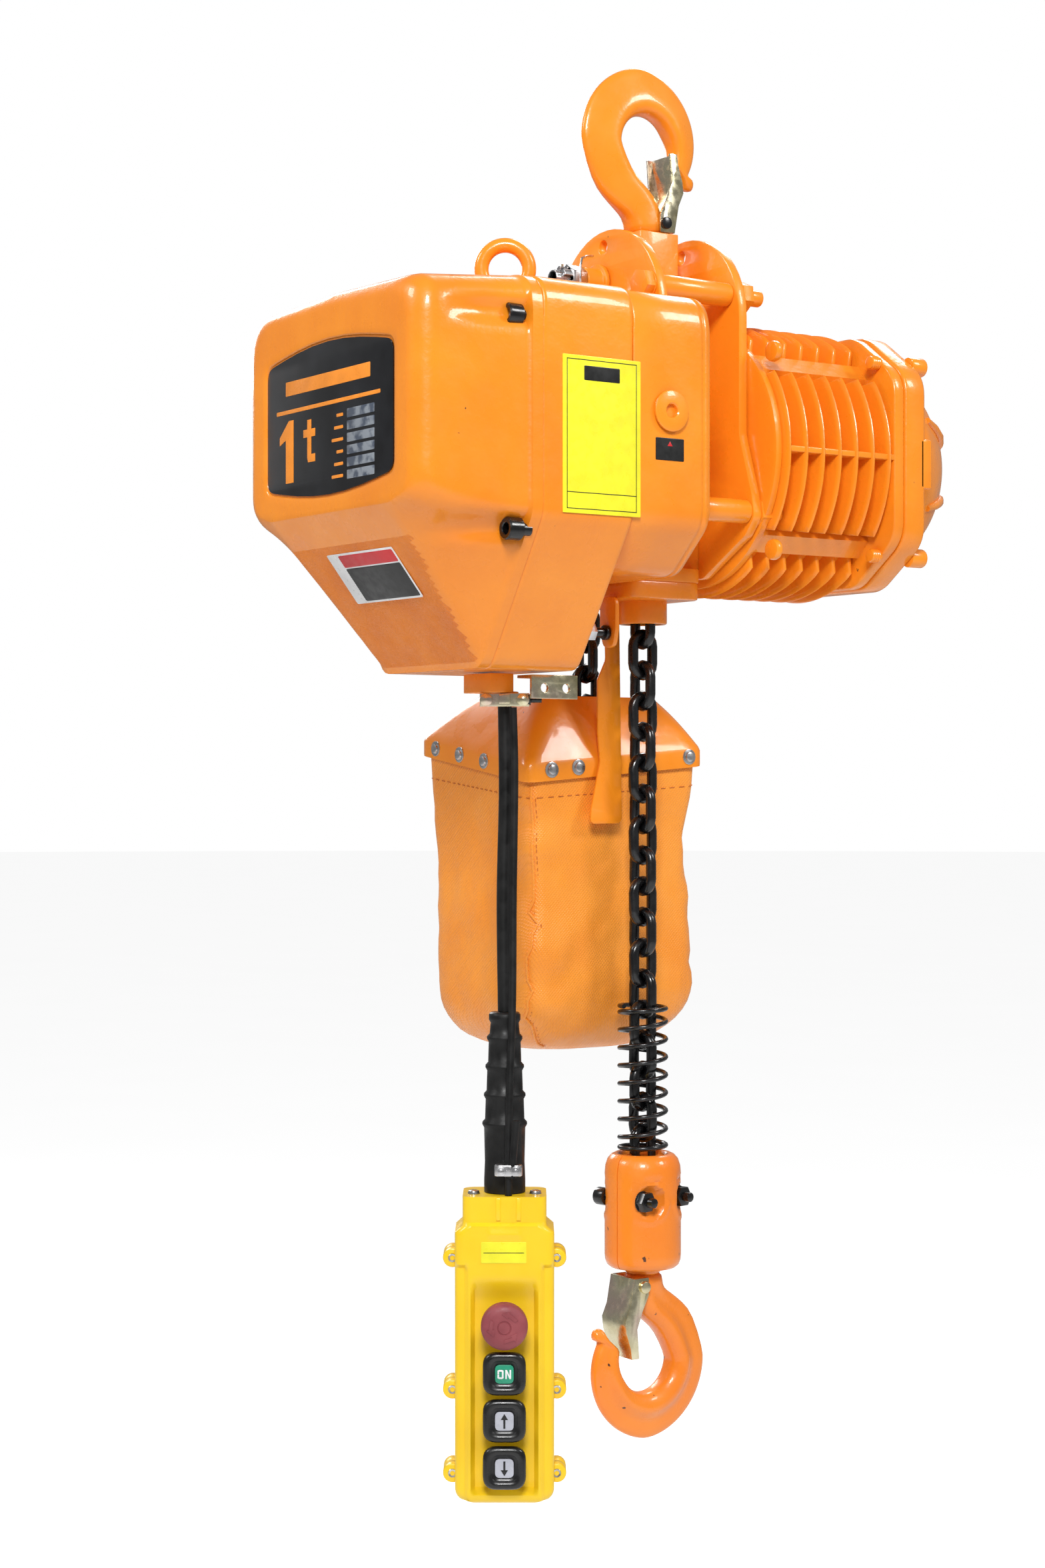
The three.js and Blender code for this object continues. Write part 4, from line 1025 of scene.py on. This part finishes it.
# ---- chain guide and limit lever ----
def chain_guide():
    x0, y0, z0, x1, y1, z1 = GUIDE
    passage = [circle(0, 0, 13.6, 36), circle(0, SLACK_Y, 13.6, 36)]
    lower = rounded([(x0, y0), (x1, y0), (x1, y1), (x0, y1)], 11, 7)
    upper = rounded([(x0 + 9, y0), (x1, y0), (x1, y1), (x0 + 9, y1)], 9, 7)
    made = slab("z", lower, -331, -319, passage, 1.6).merge(slab("z", upper, -319.5, z1, passage, 1.2))
    made.merge(slab("z", circle(0, 0, 16.5, 44), z0, -330, [circle(0, 0, 13.6, 36)], 1.2))
    make("guide_casting", made, "hoist", "orange_casting", stands_for=("chain_guide",))
    ear = rounded([(-12, -330), (6, -330), (6, -352), (2, -364), (-9, -364), (-12, -352)], 6, 5)
    tab = slab("x", [(y - 14, z) for y, z in ear], -42, -38.5, [circle(-17, -354, 4, 20)], 0.7)
    make("limit_ear", tab, "hoist", "orange_enamel")
    at = (0, -17, -354)
    make("limit_nut", Shape().hexagon("x", at, 11, -60, -54).rod("x", at, 3, -63, -59, 0.6), "hoist",
         "machined_steel")
    make("limit_rod", Shape().rod("x", at, 3.2, -54, -43, 0.4).rod("x", at, 5, -45.5, -42.2, 0.6), "hoist",
         "blackened_steel")


chain_guide()


# ---- motor ----
ROOT, TIP = 78.0, 93.5


def motor_core():
    """Barrel with four flats that part the fins, and a coned shoulder at the plate."""
    rings = []
    for x, r, flat in ((HOUSING[0] + 0.4, 68, 0), (HOUSING[0] + 0.4, 86, 0), (HOUSING[0] + 1.4, 88, 0),
                       (HOUSING[0] + 6, 88, 0), (HOUSING[0] + 9, 84, 1), (HOUSING[0] + 14, ROOT, 1),
                       (HOUSING[0] + 60, ROOT, 1), (HOUSING[3] - 12, ROOT, 1), (HOUSING[3] - 9, ROOT + 4, 1)):
        ring = []
        for i in range(180):
            a = TURN * i / 180
            off = (a + math.pi / 4) % (math.pi / 2) - math.pi / 4
            diagonal = abs(abs(off) - math.pi / 4)
            reach = 86.0 / max(0.3, math.cos(diagonal))
            radius = r
            if flat:
                radius = max(r, min(reach, 87.5) * smoothstep(0.15, 0.1, diagonal))
            ring.append((x, MOTOR.y + radius * math.cos(a), MOTOR.z + radius * math.sin(a)))
        rings.append(ring)
    return Shape().loft(rings)


def fin_arc(x, centre, spread):
    """One fin over part of the barrel, with sloping ends and a rounded crest."""
    profile = [(-2.5, 0.0), (-1.7, 0.78), (-1.1, 0.95), (0, 1.0), (1.1, 0.95), (1.7, 0.78), (2.5, 0.0)]
    rings = []
    for i in range(29):
        s = -1 + 2 * i / 28
        a = centre + spread * s
        rise = (TIP - ROOT) * smoothstep(1.0, 0.84, abs(s)) + 0.6
        rings.append([(x + dx, MOTOR.y + (ROOT - 1 + (rise + 1) * h) * math.cos(a),
                       MOTOR.z + (ROOT - 1 + (rise + 1) * h) * math.sin(a)) for dx, h in profile])
    return Shape().loft(rings)


def flange_outline(wide, tall, cut):
    corners = [(-wide, cut), (-cut * 0.9, tall), (cut * 0.9, tall), (wide, cut), (wide, -cut), (cut * 0.9, -tall),
               (-cut * 0.9, -tall), (-wide, -cut)]
    return rounded([(MOTOR.y + y, MOTOR.z + z) for y, z in corners], 26, 7)


def motor():
    made = motor_core()
    first = HOUSING[0] + 9
    for group in range(4):
        for i in range(7):
            made.merge(fin_arc(first + 14.6 * i, group * math.pi / 2, math.radians(40.5)))
    for side in (-1, 1):
        low, high = sorted((MOTOR.y + side * 77, MOTOR.y + side * 92.5))
        rib = rounded([(low, MOTOR.z - 2), (high, MOTOR.z - 2), (high, MOTOR.z + 2), (low, MOTOR.z + 2)], 0.8, 3)
        made.merge(slab("x", rib, HOUSING[0] + 10, HOUSING[3] - 8, bevel=0.6))
    made.merge(slab("x", flange_outline(93, 87, 56), HOUSING[3] - 9, HOUSING[3], bevel=1.6))
    make("motor_barrel", made, "hoist", "orange_casting", stands_for=("motor_housing",), sharp=48)

    x = END_COVER[0]
    cover = slab("x", flange_outline(94, 88, 57), x, x + 18, bevel=2.0)
    dome = [(0, x + 16), (84.5, x + 16.7), (84, x + 28), (81, x + 36), (70, x + 52.7), (60, x + 65), (50, x + 74),
            (37, x + 81), (24, x + 85.6), (12, x + 89.6), (0, x + 91.4)]
    cover.lathe("x", (0, MOTOR.y, MOTOR.z), dome, 96)
    for i in range(8):
        a = TURN * (i + 0.5) / 8
        for r0, r1, rise in ((42, 80, 1.6),):
            path = []
            for k in range(5):
                r = r0 + (r1 - r0) * k / 4
                along = np.interp(r, [0, 12, 24, 37, 50, 60, 70, 81, 84],
                                  [x + 91.4, x + 89.6, x + 85.6, x + 81, x + 74, x + 65, x + 52.7, x + 36, x + 28])
                path.append((along + rise * math.sin(math.pi * (k + 0.5) / 5), MOTOR.y + r * math.cos(a),
                             MOTOR.z + r * math.sin(a)))
            cover.tube(path, [2.2, 3.0, 3.2, 3.0, 2.2], 8)
    pad = rounded([(MOTOR.y - 94, MOTOR.z - 20), (MOTOR.y - 88, MOTOR.z - 20), (MOTOR.y - 88, MOTOR.z + 14),
                   (MOTOR.y - 94, MOTOR.z + 14)], 1.5, 3)
    cover.merge(slab("x", pad, x + 14, x + 24, bevel=1.0))
    make("motor_bell", cover, "hoist", "orange_casting", stands_for=("motor_end_cover",), sharp=48)

    bolts = Shape()
    for sy in (-1, 1):
        for sz in (-1, 1):
            at = (0, MOTOR.y + sy * 76, MOTOR.z + sz * 66)
            bolts.rod("x", at, 6.5, x + 17.5, x + 31, 1.0)
            bolts.rod("x", at, 4.2, HOUSING[3] - 17, HOUSING[3] - 8, 0.6)
            for k in range(4):
                along = HOUSING[3] - 16 + 1.6 * k
                bolts.lathe("x", at, [(4.1, along), (4.7, along + 0.7), (4.1, along + 1.4)], 24)
            bolts.rod("x", at, 7, HOUSING[0] + 6, HOUSING[0] + 12, 2.0)
    make("motor_bolts", bolts, "hoist", "orange_enamel")


motor()


# ---- chain bag ----
BX0, BY0, BX1, BY1 = HOOD[0], HOOD[1], HOOD[3], HOOD[4]


def rim_dip(x, y):
    """The hood's lower edge drops towards its near left corner."""
    return 0.147 * (y - BY0) + 0.08 * (x - BX0)


def bag_ring(inset, z, corner, dip=True, skew=(0, 0, 0, 0), steps=7):
    x0, y0, x1, y1 = BX0 + inset + skew[0], BY0 + inset + skew[1], BX1 - inset - skew[2], BY1 - inset - skew[3]
    outline = rounded([(x0, y0), (x1, y0), (x1, y1), (x0, y1)], corner, steps)
    return [(x, y, z + (rim_dip(x, y) if dip else 0)) for x, y in by_angle(outline, ((BX0 + BX1) / 2, (BY0 + BY1) / 2),
                                                                           160)]


def bag_hood():
    rings = [bag_ring(0.2, -454.5, 9), bag_ring(0, -453, 9), bag_ring(0, -444, 9), bag_ring(0.8, -441, 10)]
    top_skew = (30, 20, 22, 25)
    for i in range(1, 9):
        t = i / 8
        skew = [s * t for s in top_skew]
        ring = bag_ring(0.8, 0, 10 + 8 * t, False, skew)
        crown = 1.8 * math.sin(math.pi * t)
        rings.append([(x, y, (-441 + rim_dip(x, y)) * (1 - t) + t * (-395.5 + 0.04 * (y - BY0)) + crown)
                      for x, y, _ in ring])
    shape = Shape().loft(rings, caps=False)

    def modify(obj):
        wall = obj.modifiers.new("wall", "SOLIDIFY")
        wall.thickness = 1.6 * MM
        wall.offset = -1
    obj = make("hood_pressing", shape, "hoist", "orange_enamel", stands_for=("bag_hood",), sharp=40)
    modify(obj)
    apply_modifiers(obj)
    obj.data.shade_smooth()
    obj.data.set_sharp_from_angle(angle=math.radians(40))
    rivets = Shape()
    washers = Shape()
    for i in range(4):
        y = BY0 + 22 + 31 * i
        rivets.rod("x", (0, y, -447 + rim_dip(BX0, y)), 3.6, BX0 - 2.2, BX0 + 1, 1.4)
        washers.rod("x", (0, y, -447 + rim_dip(BX0, y)), 5.4, BX0 - 0.7, BX0 + 0.6, 0.3)
    for x in (BX0 + 20, BX0 + 42, BX1 - 14):
        rivets.rod("y", (x, 0, -447 + rim_dip(x, BY0)), 3.6, BY0 - 2.2, BY0 + 1, 1.4)
        washers.rod("y", (x, 0, -447 + rim_dip(x, BY0)), 5.4, BY0 - 0.7, BY0 + 0.6, 0.3)
    make("hood_rivets", rivets, "hoist", "machined_steel")
    make("hood_washers", washers, "hoist", "machined_steel")


def wrinkle(x, y, z):
    """How far the cloth stands in or out at a place, in millimetres."""
    near_seam = math.exp(-((x - BX0) ** 2 + (y - BY0) ** 2) / 1400)
    right_edge = math.exp(-((x - BX1) ** 2) / 1300) * (1 if y < BY0 + 60 else 0.5)
    low = noise.noise(Vector((x / 60, y / 60, z / 60)))
    crease = 1 - abs(noise.noise(Vector((x / 34, y / 34, z / 42 + 3.1)))) * 3.2
    crease = max(0, crease) ** 2
    fine = noise.noise(Vector((x / 13, y / 13, z / 17)))
    pucker = near_seam * (2.6 * math.sin(z / 7.5 + 3 * low) + 2.0 * fine)
    folds = right_edge * (3.4 * math.sin((z + 0.8 * y) / 31 + 2.4 * low) - 1.0)
    return 2.6 * low - 2.4 * crease * (0.35 + 0.65 * (near_seam + right_edge)) + 0.7 * fine + pucker + folds


def bag_cloth():
    """One sheet sewn into a sack: hung from the hood, drawn in a little and sagging at the bottom."""
    shape = Shape()
    rings = []
    levels = [(-448, 2.8, 11)] + [(-458 - 7.6 * i, 3.4 + 1.5 * math.sin(math.pi * i / 18), 11 + 0.6 * i)
                                  for i in range(19)]
    for z, inset, corner in levels:
        share = min(1, max(0, (-452 - z) / 60))
        ring = bag_ring(inset, 0, corner, False)
        rings.append([(x, y, z + rim_dip(x, y) * (1 - share)) for x, y, _ in ring])
    for i in range(1, 12):
        a = math.pi / 2 * i / 11
        inset = 3.6 + 36 * (1 - math.cos(a)) ** 1.15
        z = -595 - 44 * math.sin(a)
        rings.append([(x, y, z) for x, y, _ in bag_ring(inset, 0, 22 + 12 * i / 11, False)])
    centre = ((BX0 + BX1) / 2, (BY0 + BY1) / 2)

    def closing(ring, share, drop):
        return [(centre[0] + (x - centre[0]) * share, centre[1] + (y - centre[1]) * share, z - drop)
                for x, y, z in ring]

    base = closing(rings[-1], 0.75, 0.35)
    rings += [base] + [closing(base, share / 0.75, 0.4) for share in (0.5, 0.25, 0.02)]
    for ring in rings:
        moved = []
        for x, y, z in ring:
            out = Vector((x - centre[0], y - centre[1]))
            away = out.length
            push = wrinkle(x, y, z) * min(1, max(0, (-456 - z) / 24)) * min(1, away / 40)
            out = out.normalized() * push if away > 1 else Vector((0, 0))
            moved.append((x + out.x, y + out.y, z))
        ring[:] = moved
    n = len(rings[0])
    faces = []
    for k in range(len(rings) - 1):
        faces += [(k * n + i, k * n + (i + 1) % n, (k + 1) * n + (i + 1) % n, (k + 1) * n + i) for i in range(n)]
    shape.add([p for ring in rings for p in ring], faces)
    obj = make("bag_sack", shape, "hoist", "orange_cloth", stands_for=("bag_cloth",), sharp=70)
    # from the CAD bag: 530 mm round, 278 mm from its rim's high corner to mid-base, half its skin 0.1196 m2
    return rings


def bag_seams(rings):
    """The sewn edge down the near left corner and the stitches under the hood."""
    n = len(rings[0])
    spots = [min(range(n), key=lambda i: ring[i][0] + ring[i][1]) for ring in rings[:28]]
    path = []
    for ring, i in zip(rings[:28], spots):
        x, y, z = ring[i]
        path.append((x - 0.5, y - 0.5, z))
    make("bag_seam", Shape().tube(path[1:], 0.9, 6), "hoist", "orange_cloth")
    stitches = Shape()
    for k in range(2, 27):
        x, y, z = path[k]
        for step in (0.2, 0.6):
            q = Vector(path[k]) * (1 - step) + Vector(path[k + 1]) * step if k + 1 < len(path) else Vector(path[k])
            stitches.tube([q + Vector((3.0, -0.9, 1.1)), q + Vector((3.0, -1.0, -1.1))], 0.28, 5)
    ring = rings[2]
    for i in range(0, n, 2):
        a, b = Vector(ring[i]), Vector(ring[(i + 1) % n])
        out = Vector((a.x - (BX0 + BX1) / 2, a.y - (BY0 + BY1) / 2, 0)).normalized() * 0.35
        stitches.tube([a + out, b + out], 0.28, 5)
    make("bag_stitches", stitches, "hoist", "orange_cloth", "stitching")


def bag_hanger():
    """Pressed strip from the guide, down past the hood, with a flared lip."""
    x0, y0, z0, x1, y1, z1 = STRIP
    outline = rounded([(x0 + 15, z1), (x1, z1), (x1, z0), (x0, z0), (x0 + 2, z0 + 10), (x0 + 11, z0 + 42),
                       (x0 + 9, z0 + 62), (x0 + 9, z0 + 98), (x0 + 13, z0 + 106), (x0 + 16, z0 + 112)],
                      [1, 2, 5, 4, 8, 10, 10, 5, 5, 8], 5)
    shape = slab("y", outline, y1 - 2, y1, bevel=0.5)
    for z, r in ((-404, 3.6), (-430, 3.6), (-448, 4.4)):
        shape.rod("y", (x0 + 19, 0, z), r, y1 - 2.5, y1 - 1.4, 0.4)

    def flare(p):
        x, y, z = p
        out = 3.2 * smoothstep(-458, -480, z)
        return (x, y - out, z)
    shape.points = [flare(p) for p in shape.points]
    make("hanger_pressing", shape, "hoist", "orange_enamel", stands_for=("bag_hanger",))


bag_hood()
bag_seams(bag_cloth())
bag_hanger()


# ---- pendant ----
TOP, BOTTOM = -720.0, -917.0
EARS = [(s * 33.7, z) for z in (-761, -846, -900) for s in (-1, 1)]
BUTTONS = [("on_button", -831), ("up_button", -861), ("down_button", -891)]


def pendant_half(x, z):
    """Half width of the pendant at a height, with its narrow collar and rounded foot."""
    if z > -738:
        return 27.0
    w = 27 + 5 * smoothstep(-738, -743, z)
    foot = max(0, (BOTTOM + 9 - z) / 9)
    return w - 8 * (1 - math.sqrt(max(0, 1 - foot * foot)))


def front_face(x, z):
    """Depth of the front surface: collar, label pad, frame and the sunken button channel."""
    y = -22.5 if z > -738 else -25.0
    if z < -764:
        y += 3.2 * smoothstep(23.5, 25.5, abs(x))
    if -911 < z < -764:
        wall = smoothstep(21.5, 19.0, abs(x)) * smoothstep(-911, -906, z) * smoothstep(-771, -788, z)
        y += 6.0 * wall
    if abs(x) < 10 and -745 < z < -741:
        y -= 0.8
    edge = pendant_half(x, z) - abs(x)
    if edge < 6:
        y += 6 - math.sqrt(max(0, 36 - (6 - edge) ** 2))
    end = z - BOTTOM
    if end < 7:
        y += 0.8 * (7 - math.sqrt(max(0, 49 - (7 - end) ** 2)))
    return y


def shell(name, node, side, depth):
    rows, columns = 96, 56
    zs = [TOP + (BOTTOM - TOP) * i / rows for i in range(rows + 1)]
    rings = []
    for z in zs:
        w = pendant_half(0, z)
        ring = []
        for k in range(columns + 1):
            s = -1 + 2 * k / columns
            x = w * math.sin(s * math.pi / 2) if abs(s) > 0.8 else w * s * math.sin(0.4 * math.pi) / 0.8
            ring.append((x, depth(x, z), z))
        ring += [(w, side * 0.3, z), (-w, side * 0.3, z)]
        rings.append(ring)
    made = Shape().loft(rings)
    for x, z in EARS:
        near, far = sorted((side * 0.3, side * 11.5))
        made.rod("y", (x, 0, z), 6.2, near, far, 1.2, 28)
    make(name, made.moved(PENDANT), "pendant", "pendant_yellow", stands_for=(node,), sharp=42)


def back_face(x, z):
    y = 21.5 if z > -738 else 24.0
    edge = pendant_half(x, z) - abs(x)
    if edge < 8:
        y -= 8 - math.sqrt(max(0, 64 - (8 - edge) ** 2))
    return y


def rounded_square(half, corner, y):
    outline = rounded([(-half, -half), (half, -half), (half, half), (-half, half)], corner, 6)
    return [(u, y, v) for u, v in outline]


def push_button(name, z, insert, glyph):
    levels = [(12.6, -30.4), (13.5, -31.2), (13.8, -33), (13.5, -34.8), (12.4, -36), (10.8, -36.4), (9.4, -36),
              (8.4, -35), (7.6, -34.2), (5, -33.9)]
    rings = [[(x, y, w + z) for x, y, w in rounded_square(h, h * 0.62, depth)] for h, depth in levels]
    cap = Shape().loft(rings).rod("y", (0, 0, z), 5.9, -31.5, -8, 0.4)
    make(name + "_cap", cap.moved(PENDANT), name, "black_plastic", stands_for=(name,), sharp=50)
    plaque = slab("y", [(u, v + z) for u, v in rounded([(-6, -6), (6, -6), (6, 6), (-6, 6)], 3.2)],
                  -35.2, -33.8, bevel=0.4)
    make(name + "_insert", plaque.moved(PENDANT), name, "black_plastic", insert)
    mark = Shape()
    for outline in glyph:
        mark.merge(slab("y", [(u, v + z) for u, v in outline], -35.4, -35.0, bevel=0.05))
    make(name + "_mark", mark.moved(PENDANT), name, "black_plastic",
         "label_white" if insert == "insert_green" else "label_black")


def arrow(sign):
    head = [(0, sign * 4.8), (-2.3, sign * 1.0), (2.3, sign * 1.0)]
    stem = [(-0.65, sign * 1.2), (0.65, sign * 1.2), (0.65, -sign * 4.6), (-0.65, -sign * 4.6)]
    return [head, stem]


ON_GLYPH = [
    [(-4.4, -2.4), (-3.3, -2.9), (-1.5, -2.9), (-0.5, -2.4), (-0.5, 2.4), (-1.5, 2.9), (-3.3, 2.9), (-4.4, 2.4),
     (-4.4, 0.2), (-3.3, 0.2), (-3.3, 1.8), (-1.6, 1.8), (-1.6, -1.8), (-3.3, -1.8), (-3.3, 0), (-4.4, 0)],
    [(0.6, -2.9), (1.6, -2.9), (1.6, 1.0), (3.2, -2.9), (4.3, -2.9), (4.3, 2.9), (3.3, 2.9), (3.3, -0.9), (1.7, 2.9),
     (0.6, 2.9)],
]


def stop_button():
    profile = [(0, -8), (5.9, -8), (5.9, -33), (14.2, -33), (15, -33.8), (15, -38.5), (14.4, -41), (12.6, -42.6),
               (10, -43.2), (6, -43.5), (4.6, -43.5), (4.3, -43.1), (3.9, -43.1), (3.6, -43.6), (0, -43.7)]
    cap = Shape().lathe("y", (0, 0, -800), profile, 64)
    make("stop_cap", cap.moved(PENDANT), "e_stop", "red_plastic", stands_for=("e_stop",), sharp=35)
    marks = Shape()
    for i in range(3):
        turn = TURN * i / 3 + 0.5
        arc = [(8.8 + dr, turn + a) for a, dr in ((0, -1.2), (0.7, -1.2), (0.7, -2.6), (1.25, 0), (0.7, 2.6),
                                                  (0.7, 1.2), (0, 1.2))]
        outline = [(r * math.cos(a), -800 + r * math.sin(a)) for r, a in arc]
        marks.merge(slab("y", outline, -43.75, -43.0, bevel=0.1))
    make("stop_arrows", marks.moved(PENDANT), "e_stop", "red_plastic")


def pendant():
    shell("pendant_face", "pendant_front", -1, front_face)
    shell("pendant_rear", "pendant_back", 1, back_face)
    for (name, z), insert, glyph in zip(BUTTONS, ("insert_green", "insert_grey", "insert_grey"),
                                        (ON_GLYPH, arrow(1), arrow(-1))):
        push_button(name, z, insert, glyph)
    stop_button()
    screws = Shape()
    for x, z in EARS:
        screws.lathe("y", (x, 0, z), [(0, -10.6), (1.4, -10.7), (1.6, -11.7), (2.6, -11.9), (3.0, -11.4), (3.0, -8),
                                      (0, -8)], 20)
    for x in (-20, 20):
        screws.lathe("z", (x, -8, 0), [(0, TOP - 4), (3.4, TOP - 4), (4, TOP + 0.4), (3.4, TOP + 2.0), (1.6, TOP + 2.6),
                                       (0, TOP + 2.7)], 24)
    screws.rod("x", (0, -20, -727), 1.6, 9, 17, 0.4).rod("x", (0, -20, -727), 3.0, 8, 10.4, 0.4)
    make("pendant_screws", screws.moved(PENDANT), "pendant", "machined_steel")
    lugs = Shape().box((-5.6, -24, -735), (-2.6, -20, TOP - 0.5), 0.6)
    lugs.box((7.6, -24, -735), (10.6, -20, TOP - 0.5), 0.6)
    make("pendant_lugs", lugs.moved(PENDANT), "pendant", "pendant_yellow")
    label = slab("y", rounded([(-15, -762), (14, -762), (14, -748.5), (-15, -748.5)], 0.8), -25.35, -24.9, bevel=0.05)
    make("pendant_label", label.moved(PENDANT), "pendant", "pendant_yellow", "label_yellow")
    frame_line = Shape()
    for x0, x1, z0, z1 in ((-13.5, 12.5, -755.6, -755.2),):
        frame_line.merge(slab("y", [(x0, z0), (x1, z0), (x1, z1), (x0, z1)], -25.45, -25.2, bevel=0.02))
    make("pendant_label_rule", frame_line.moved(PENDANT), "pendant", "pendant_yellow", "label_black")


def boot():
    profile = [(0, -603), (5.2, -603), (9.2, -603.2), (10.3, -604.6), (10.3, -608), (9.2, -610)]
    for i in range(1, 5):
        z, r = -620 - 18.5 * i + 18.5, 9.2 + 1.0 * i
        profile += [(r - 0.4, z + 3), (r + 1.3, z + 1.1), (r + 1.4, z - 0.4), (r + 0.2, z - 2.6)]
    profile += [(12.9, -700), (13.4, -712), (13.4, -719.6), (0, -719.6)]
    make("boot_moulding", Shape().lathe("z", (0, 0, 0), profile, 48).moved(PENDANT), "pendant", "black_rubber",
         stands_for=("pendant_boot",), sharp=55)
    clip = slab("z", rounded([(-6.5, -23.5), (11.5, -23.5), (11.5, -15.6), (-6.5, -15.6)], 3.4), -707, -699.5,
                bevel=1.0)
    for x in (-2.2, 7.2):
        clip.hexagon("y", (x, 0, -703.2), 6.2, -26.5, -23.2).rod("y", (x, 0, -703.2), 1.7, -28, -26, 0.4)
    make("wire_clip", clip.moved(PENDANT), "pendant", "machined_steel")
    tail = [(5, -21, -708), (5.4, -21.5, -698), (6.4, -22.2, -684), (7.6, -22.6, -671)]
    make("wire_tail", Shape().tube(tail, [2.4, 2.4, 2.4, 2.3], 10).moved(PENDANT), "pendant", "black_rubber")


def outlet():
    for node, slot, width in (("cable_bracket", "yellow_zinc", 0.6), ("cable_gland", "orange_enamel", 1.0),
                              ("cable_clamp", "yellow_zinc", 0.7)):
        softened(node, slot, width)
    screws = Shape()
    for x in (-12, 12):
        screws.lathe("y", (x, 0, -400.6), [(0, -13.2), (4.2, -13.2), (4.0, -15), (2.4, -16.2), (0, -16.4)], 24)
    make("clamp_screws", screws.moved(PENDANT), "hoist", "yellow_zinc")
    stub = Shape().rod("x", (0, -11, -400.6), 2.0, 16, 24, 0.4).rod("x", (0, -11, -400.6), 3.6, 14, 17, 0.4)
    make("clamp_stud", stub.moved(PENDANT), "hoist", "blackened_steel")


pendant()
boot()
outlet()

# ---- finishes on the CAD nodes that stay ----
SLOT_OF = {s["node"]: s["material_slot"] for s in frame["record"]["subparts"]}
for node_name, node in frame["nodes"].items():
    for slot in node.material_slots:
        slot.link = "OBJECT"
        slot.material = FINISH[SLOT_OF[node_name]]


# ---- floor and light ----
def studio():
    bpy.ops.mesh.primitive_circle_add(vertices=96, radius=40, fill_type="NGON", location=(0, 0, -1.5))
    floor = bpy.context.object
    floor.name = "floor"
    pale = Finish("pale_floor", (0.86, 0.86, 0.86), 0.9)
    pale.tint(2, [(0.3, (0.85, 0.85, 0.85)), (0.7, (0.87, 0.87, 0.87))])
    pale.shader.inputs["Emission Color"].default_value = (1, 1, 1, 1)
    camera_only = pale.nodes.new("ShaderNodeMath")
    camera_only.operation = "MULTIPLY"
    camera_only.inputs[1].default_value = 0.72
    pale.links.new(pale.nodes.new("ShaderNodeLightPath").outputs["Is Camera Ray"], camera_only.inputs[0])
    pale.links.new(camera_only.outputs["Value"], pale.shader.inputs["Emission Strength"])
    pale.shader.inputs["Specular IOR Level"].default_value = 0
    floor.data.materials.append(pale.made)
    world = bpy.data.worlds.new("studio")
    world.use_nodes = True
    nodes, links = world.node_tree.nodes, world.node_tree.links
    backdrop = nodes["Background"]
    backdrop.inputs["Color"].default_value = (1, 1, 1, 1)
    backdrop.inputs["Strength"].default_value = 1.0
    fill = nodes.new("ShaderNodeBackground")
    fill.inputs["Color"].default_value = (1, 1, 1, 1)
    fill.inputs["Strength"].default_value = 0.26
    mixed = nodes.new("ShaderNodeMixShader")
    links.new(nodes.new("ShaderNodeLightPath").outputs["Is Camera Ray"], mixed.inputs["Fac"])
    links.new(fill.outputs["Background"], mixed.inputs[1])
    links.new(backdrop.outputs["Background"], mixed.inputs[2])
    links.new(mixed.outputs["Shader"], nodes["World Output"].inputs["Surface"])
    bpy.context.scene.world = world
    bpy.context.scene.view_settings.view_transform = "Standard"
    aim = Vector((0, 0, -0.4))
    for name, place, size, power in (
        ("key", (-1.7, -2.3, 1.3), 0.8, 84), ("front", (1.5, -2.0, 1.3), 0.7, 30),
        ("rim", (1.6, 1.2, 1.7), 0.9, 34), ("left", (-2.5, 1.0, 1.5), 0.8, 30), ("back", (0.4, 2.8, 0.8), 1.2, 34),
    ):
        data = bpy.data.lights.new(name, "AREA")
        data.size = size
        data.energy = power
        lamp = bpy.data.objects.new(name, data)
        lamp.location = place
        lamp.rotation_euler = (aim - Vector(place)).to_track_quat("-Z", "Y").to_euler()
        bpy.context.scene.collection.objects.link(lamp)


studio()
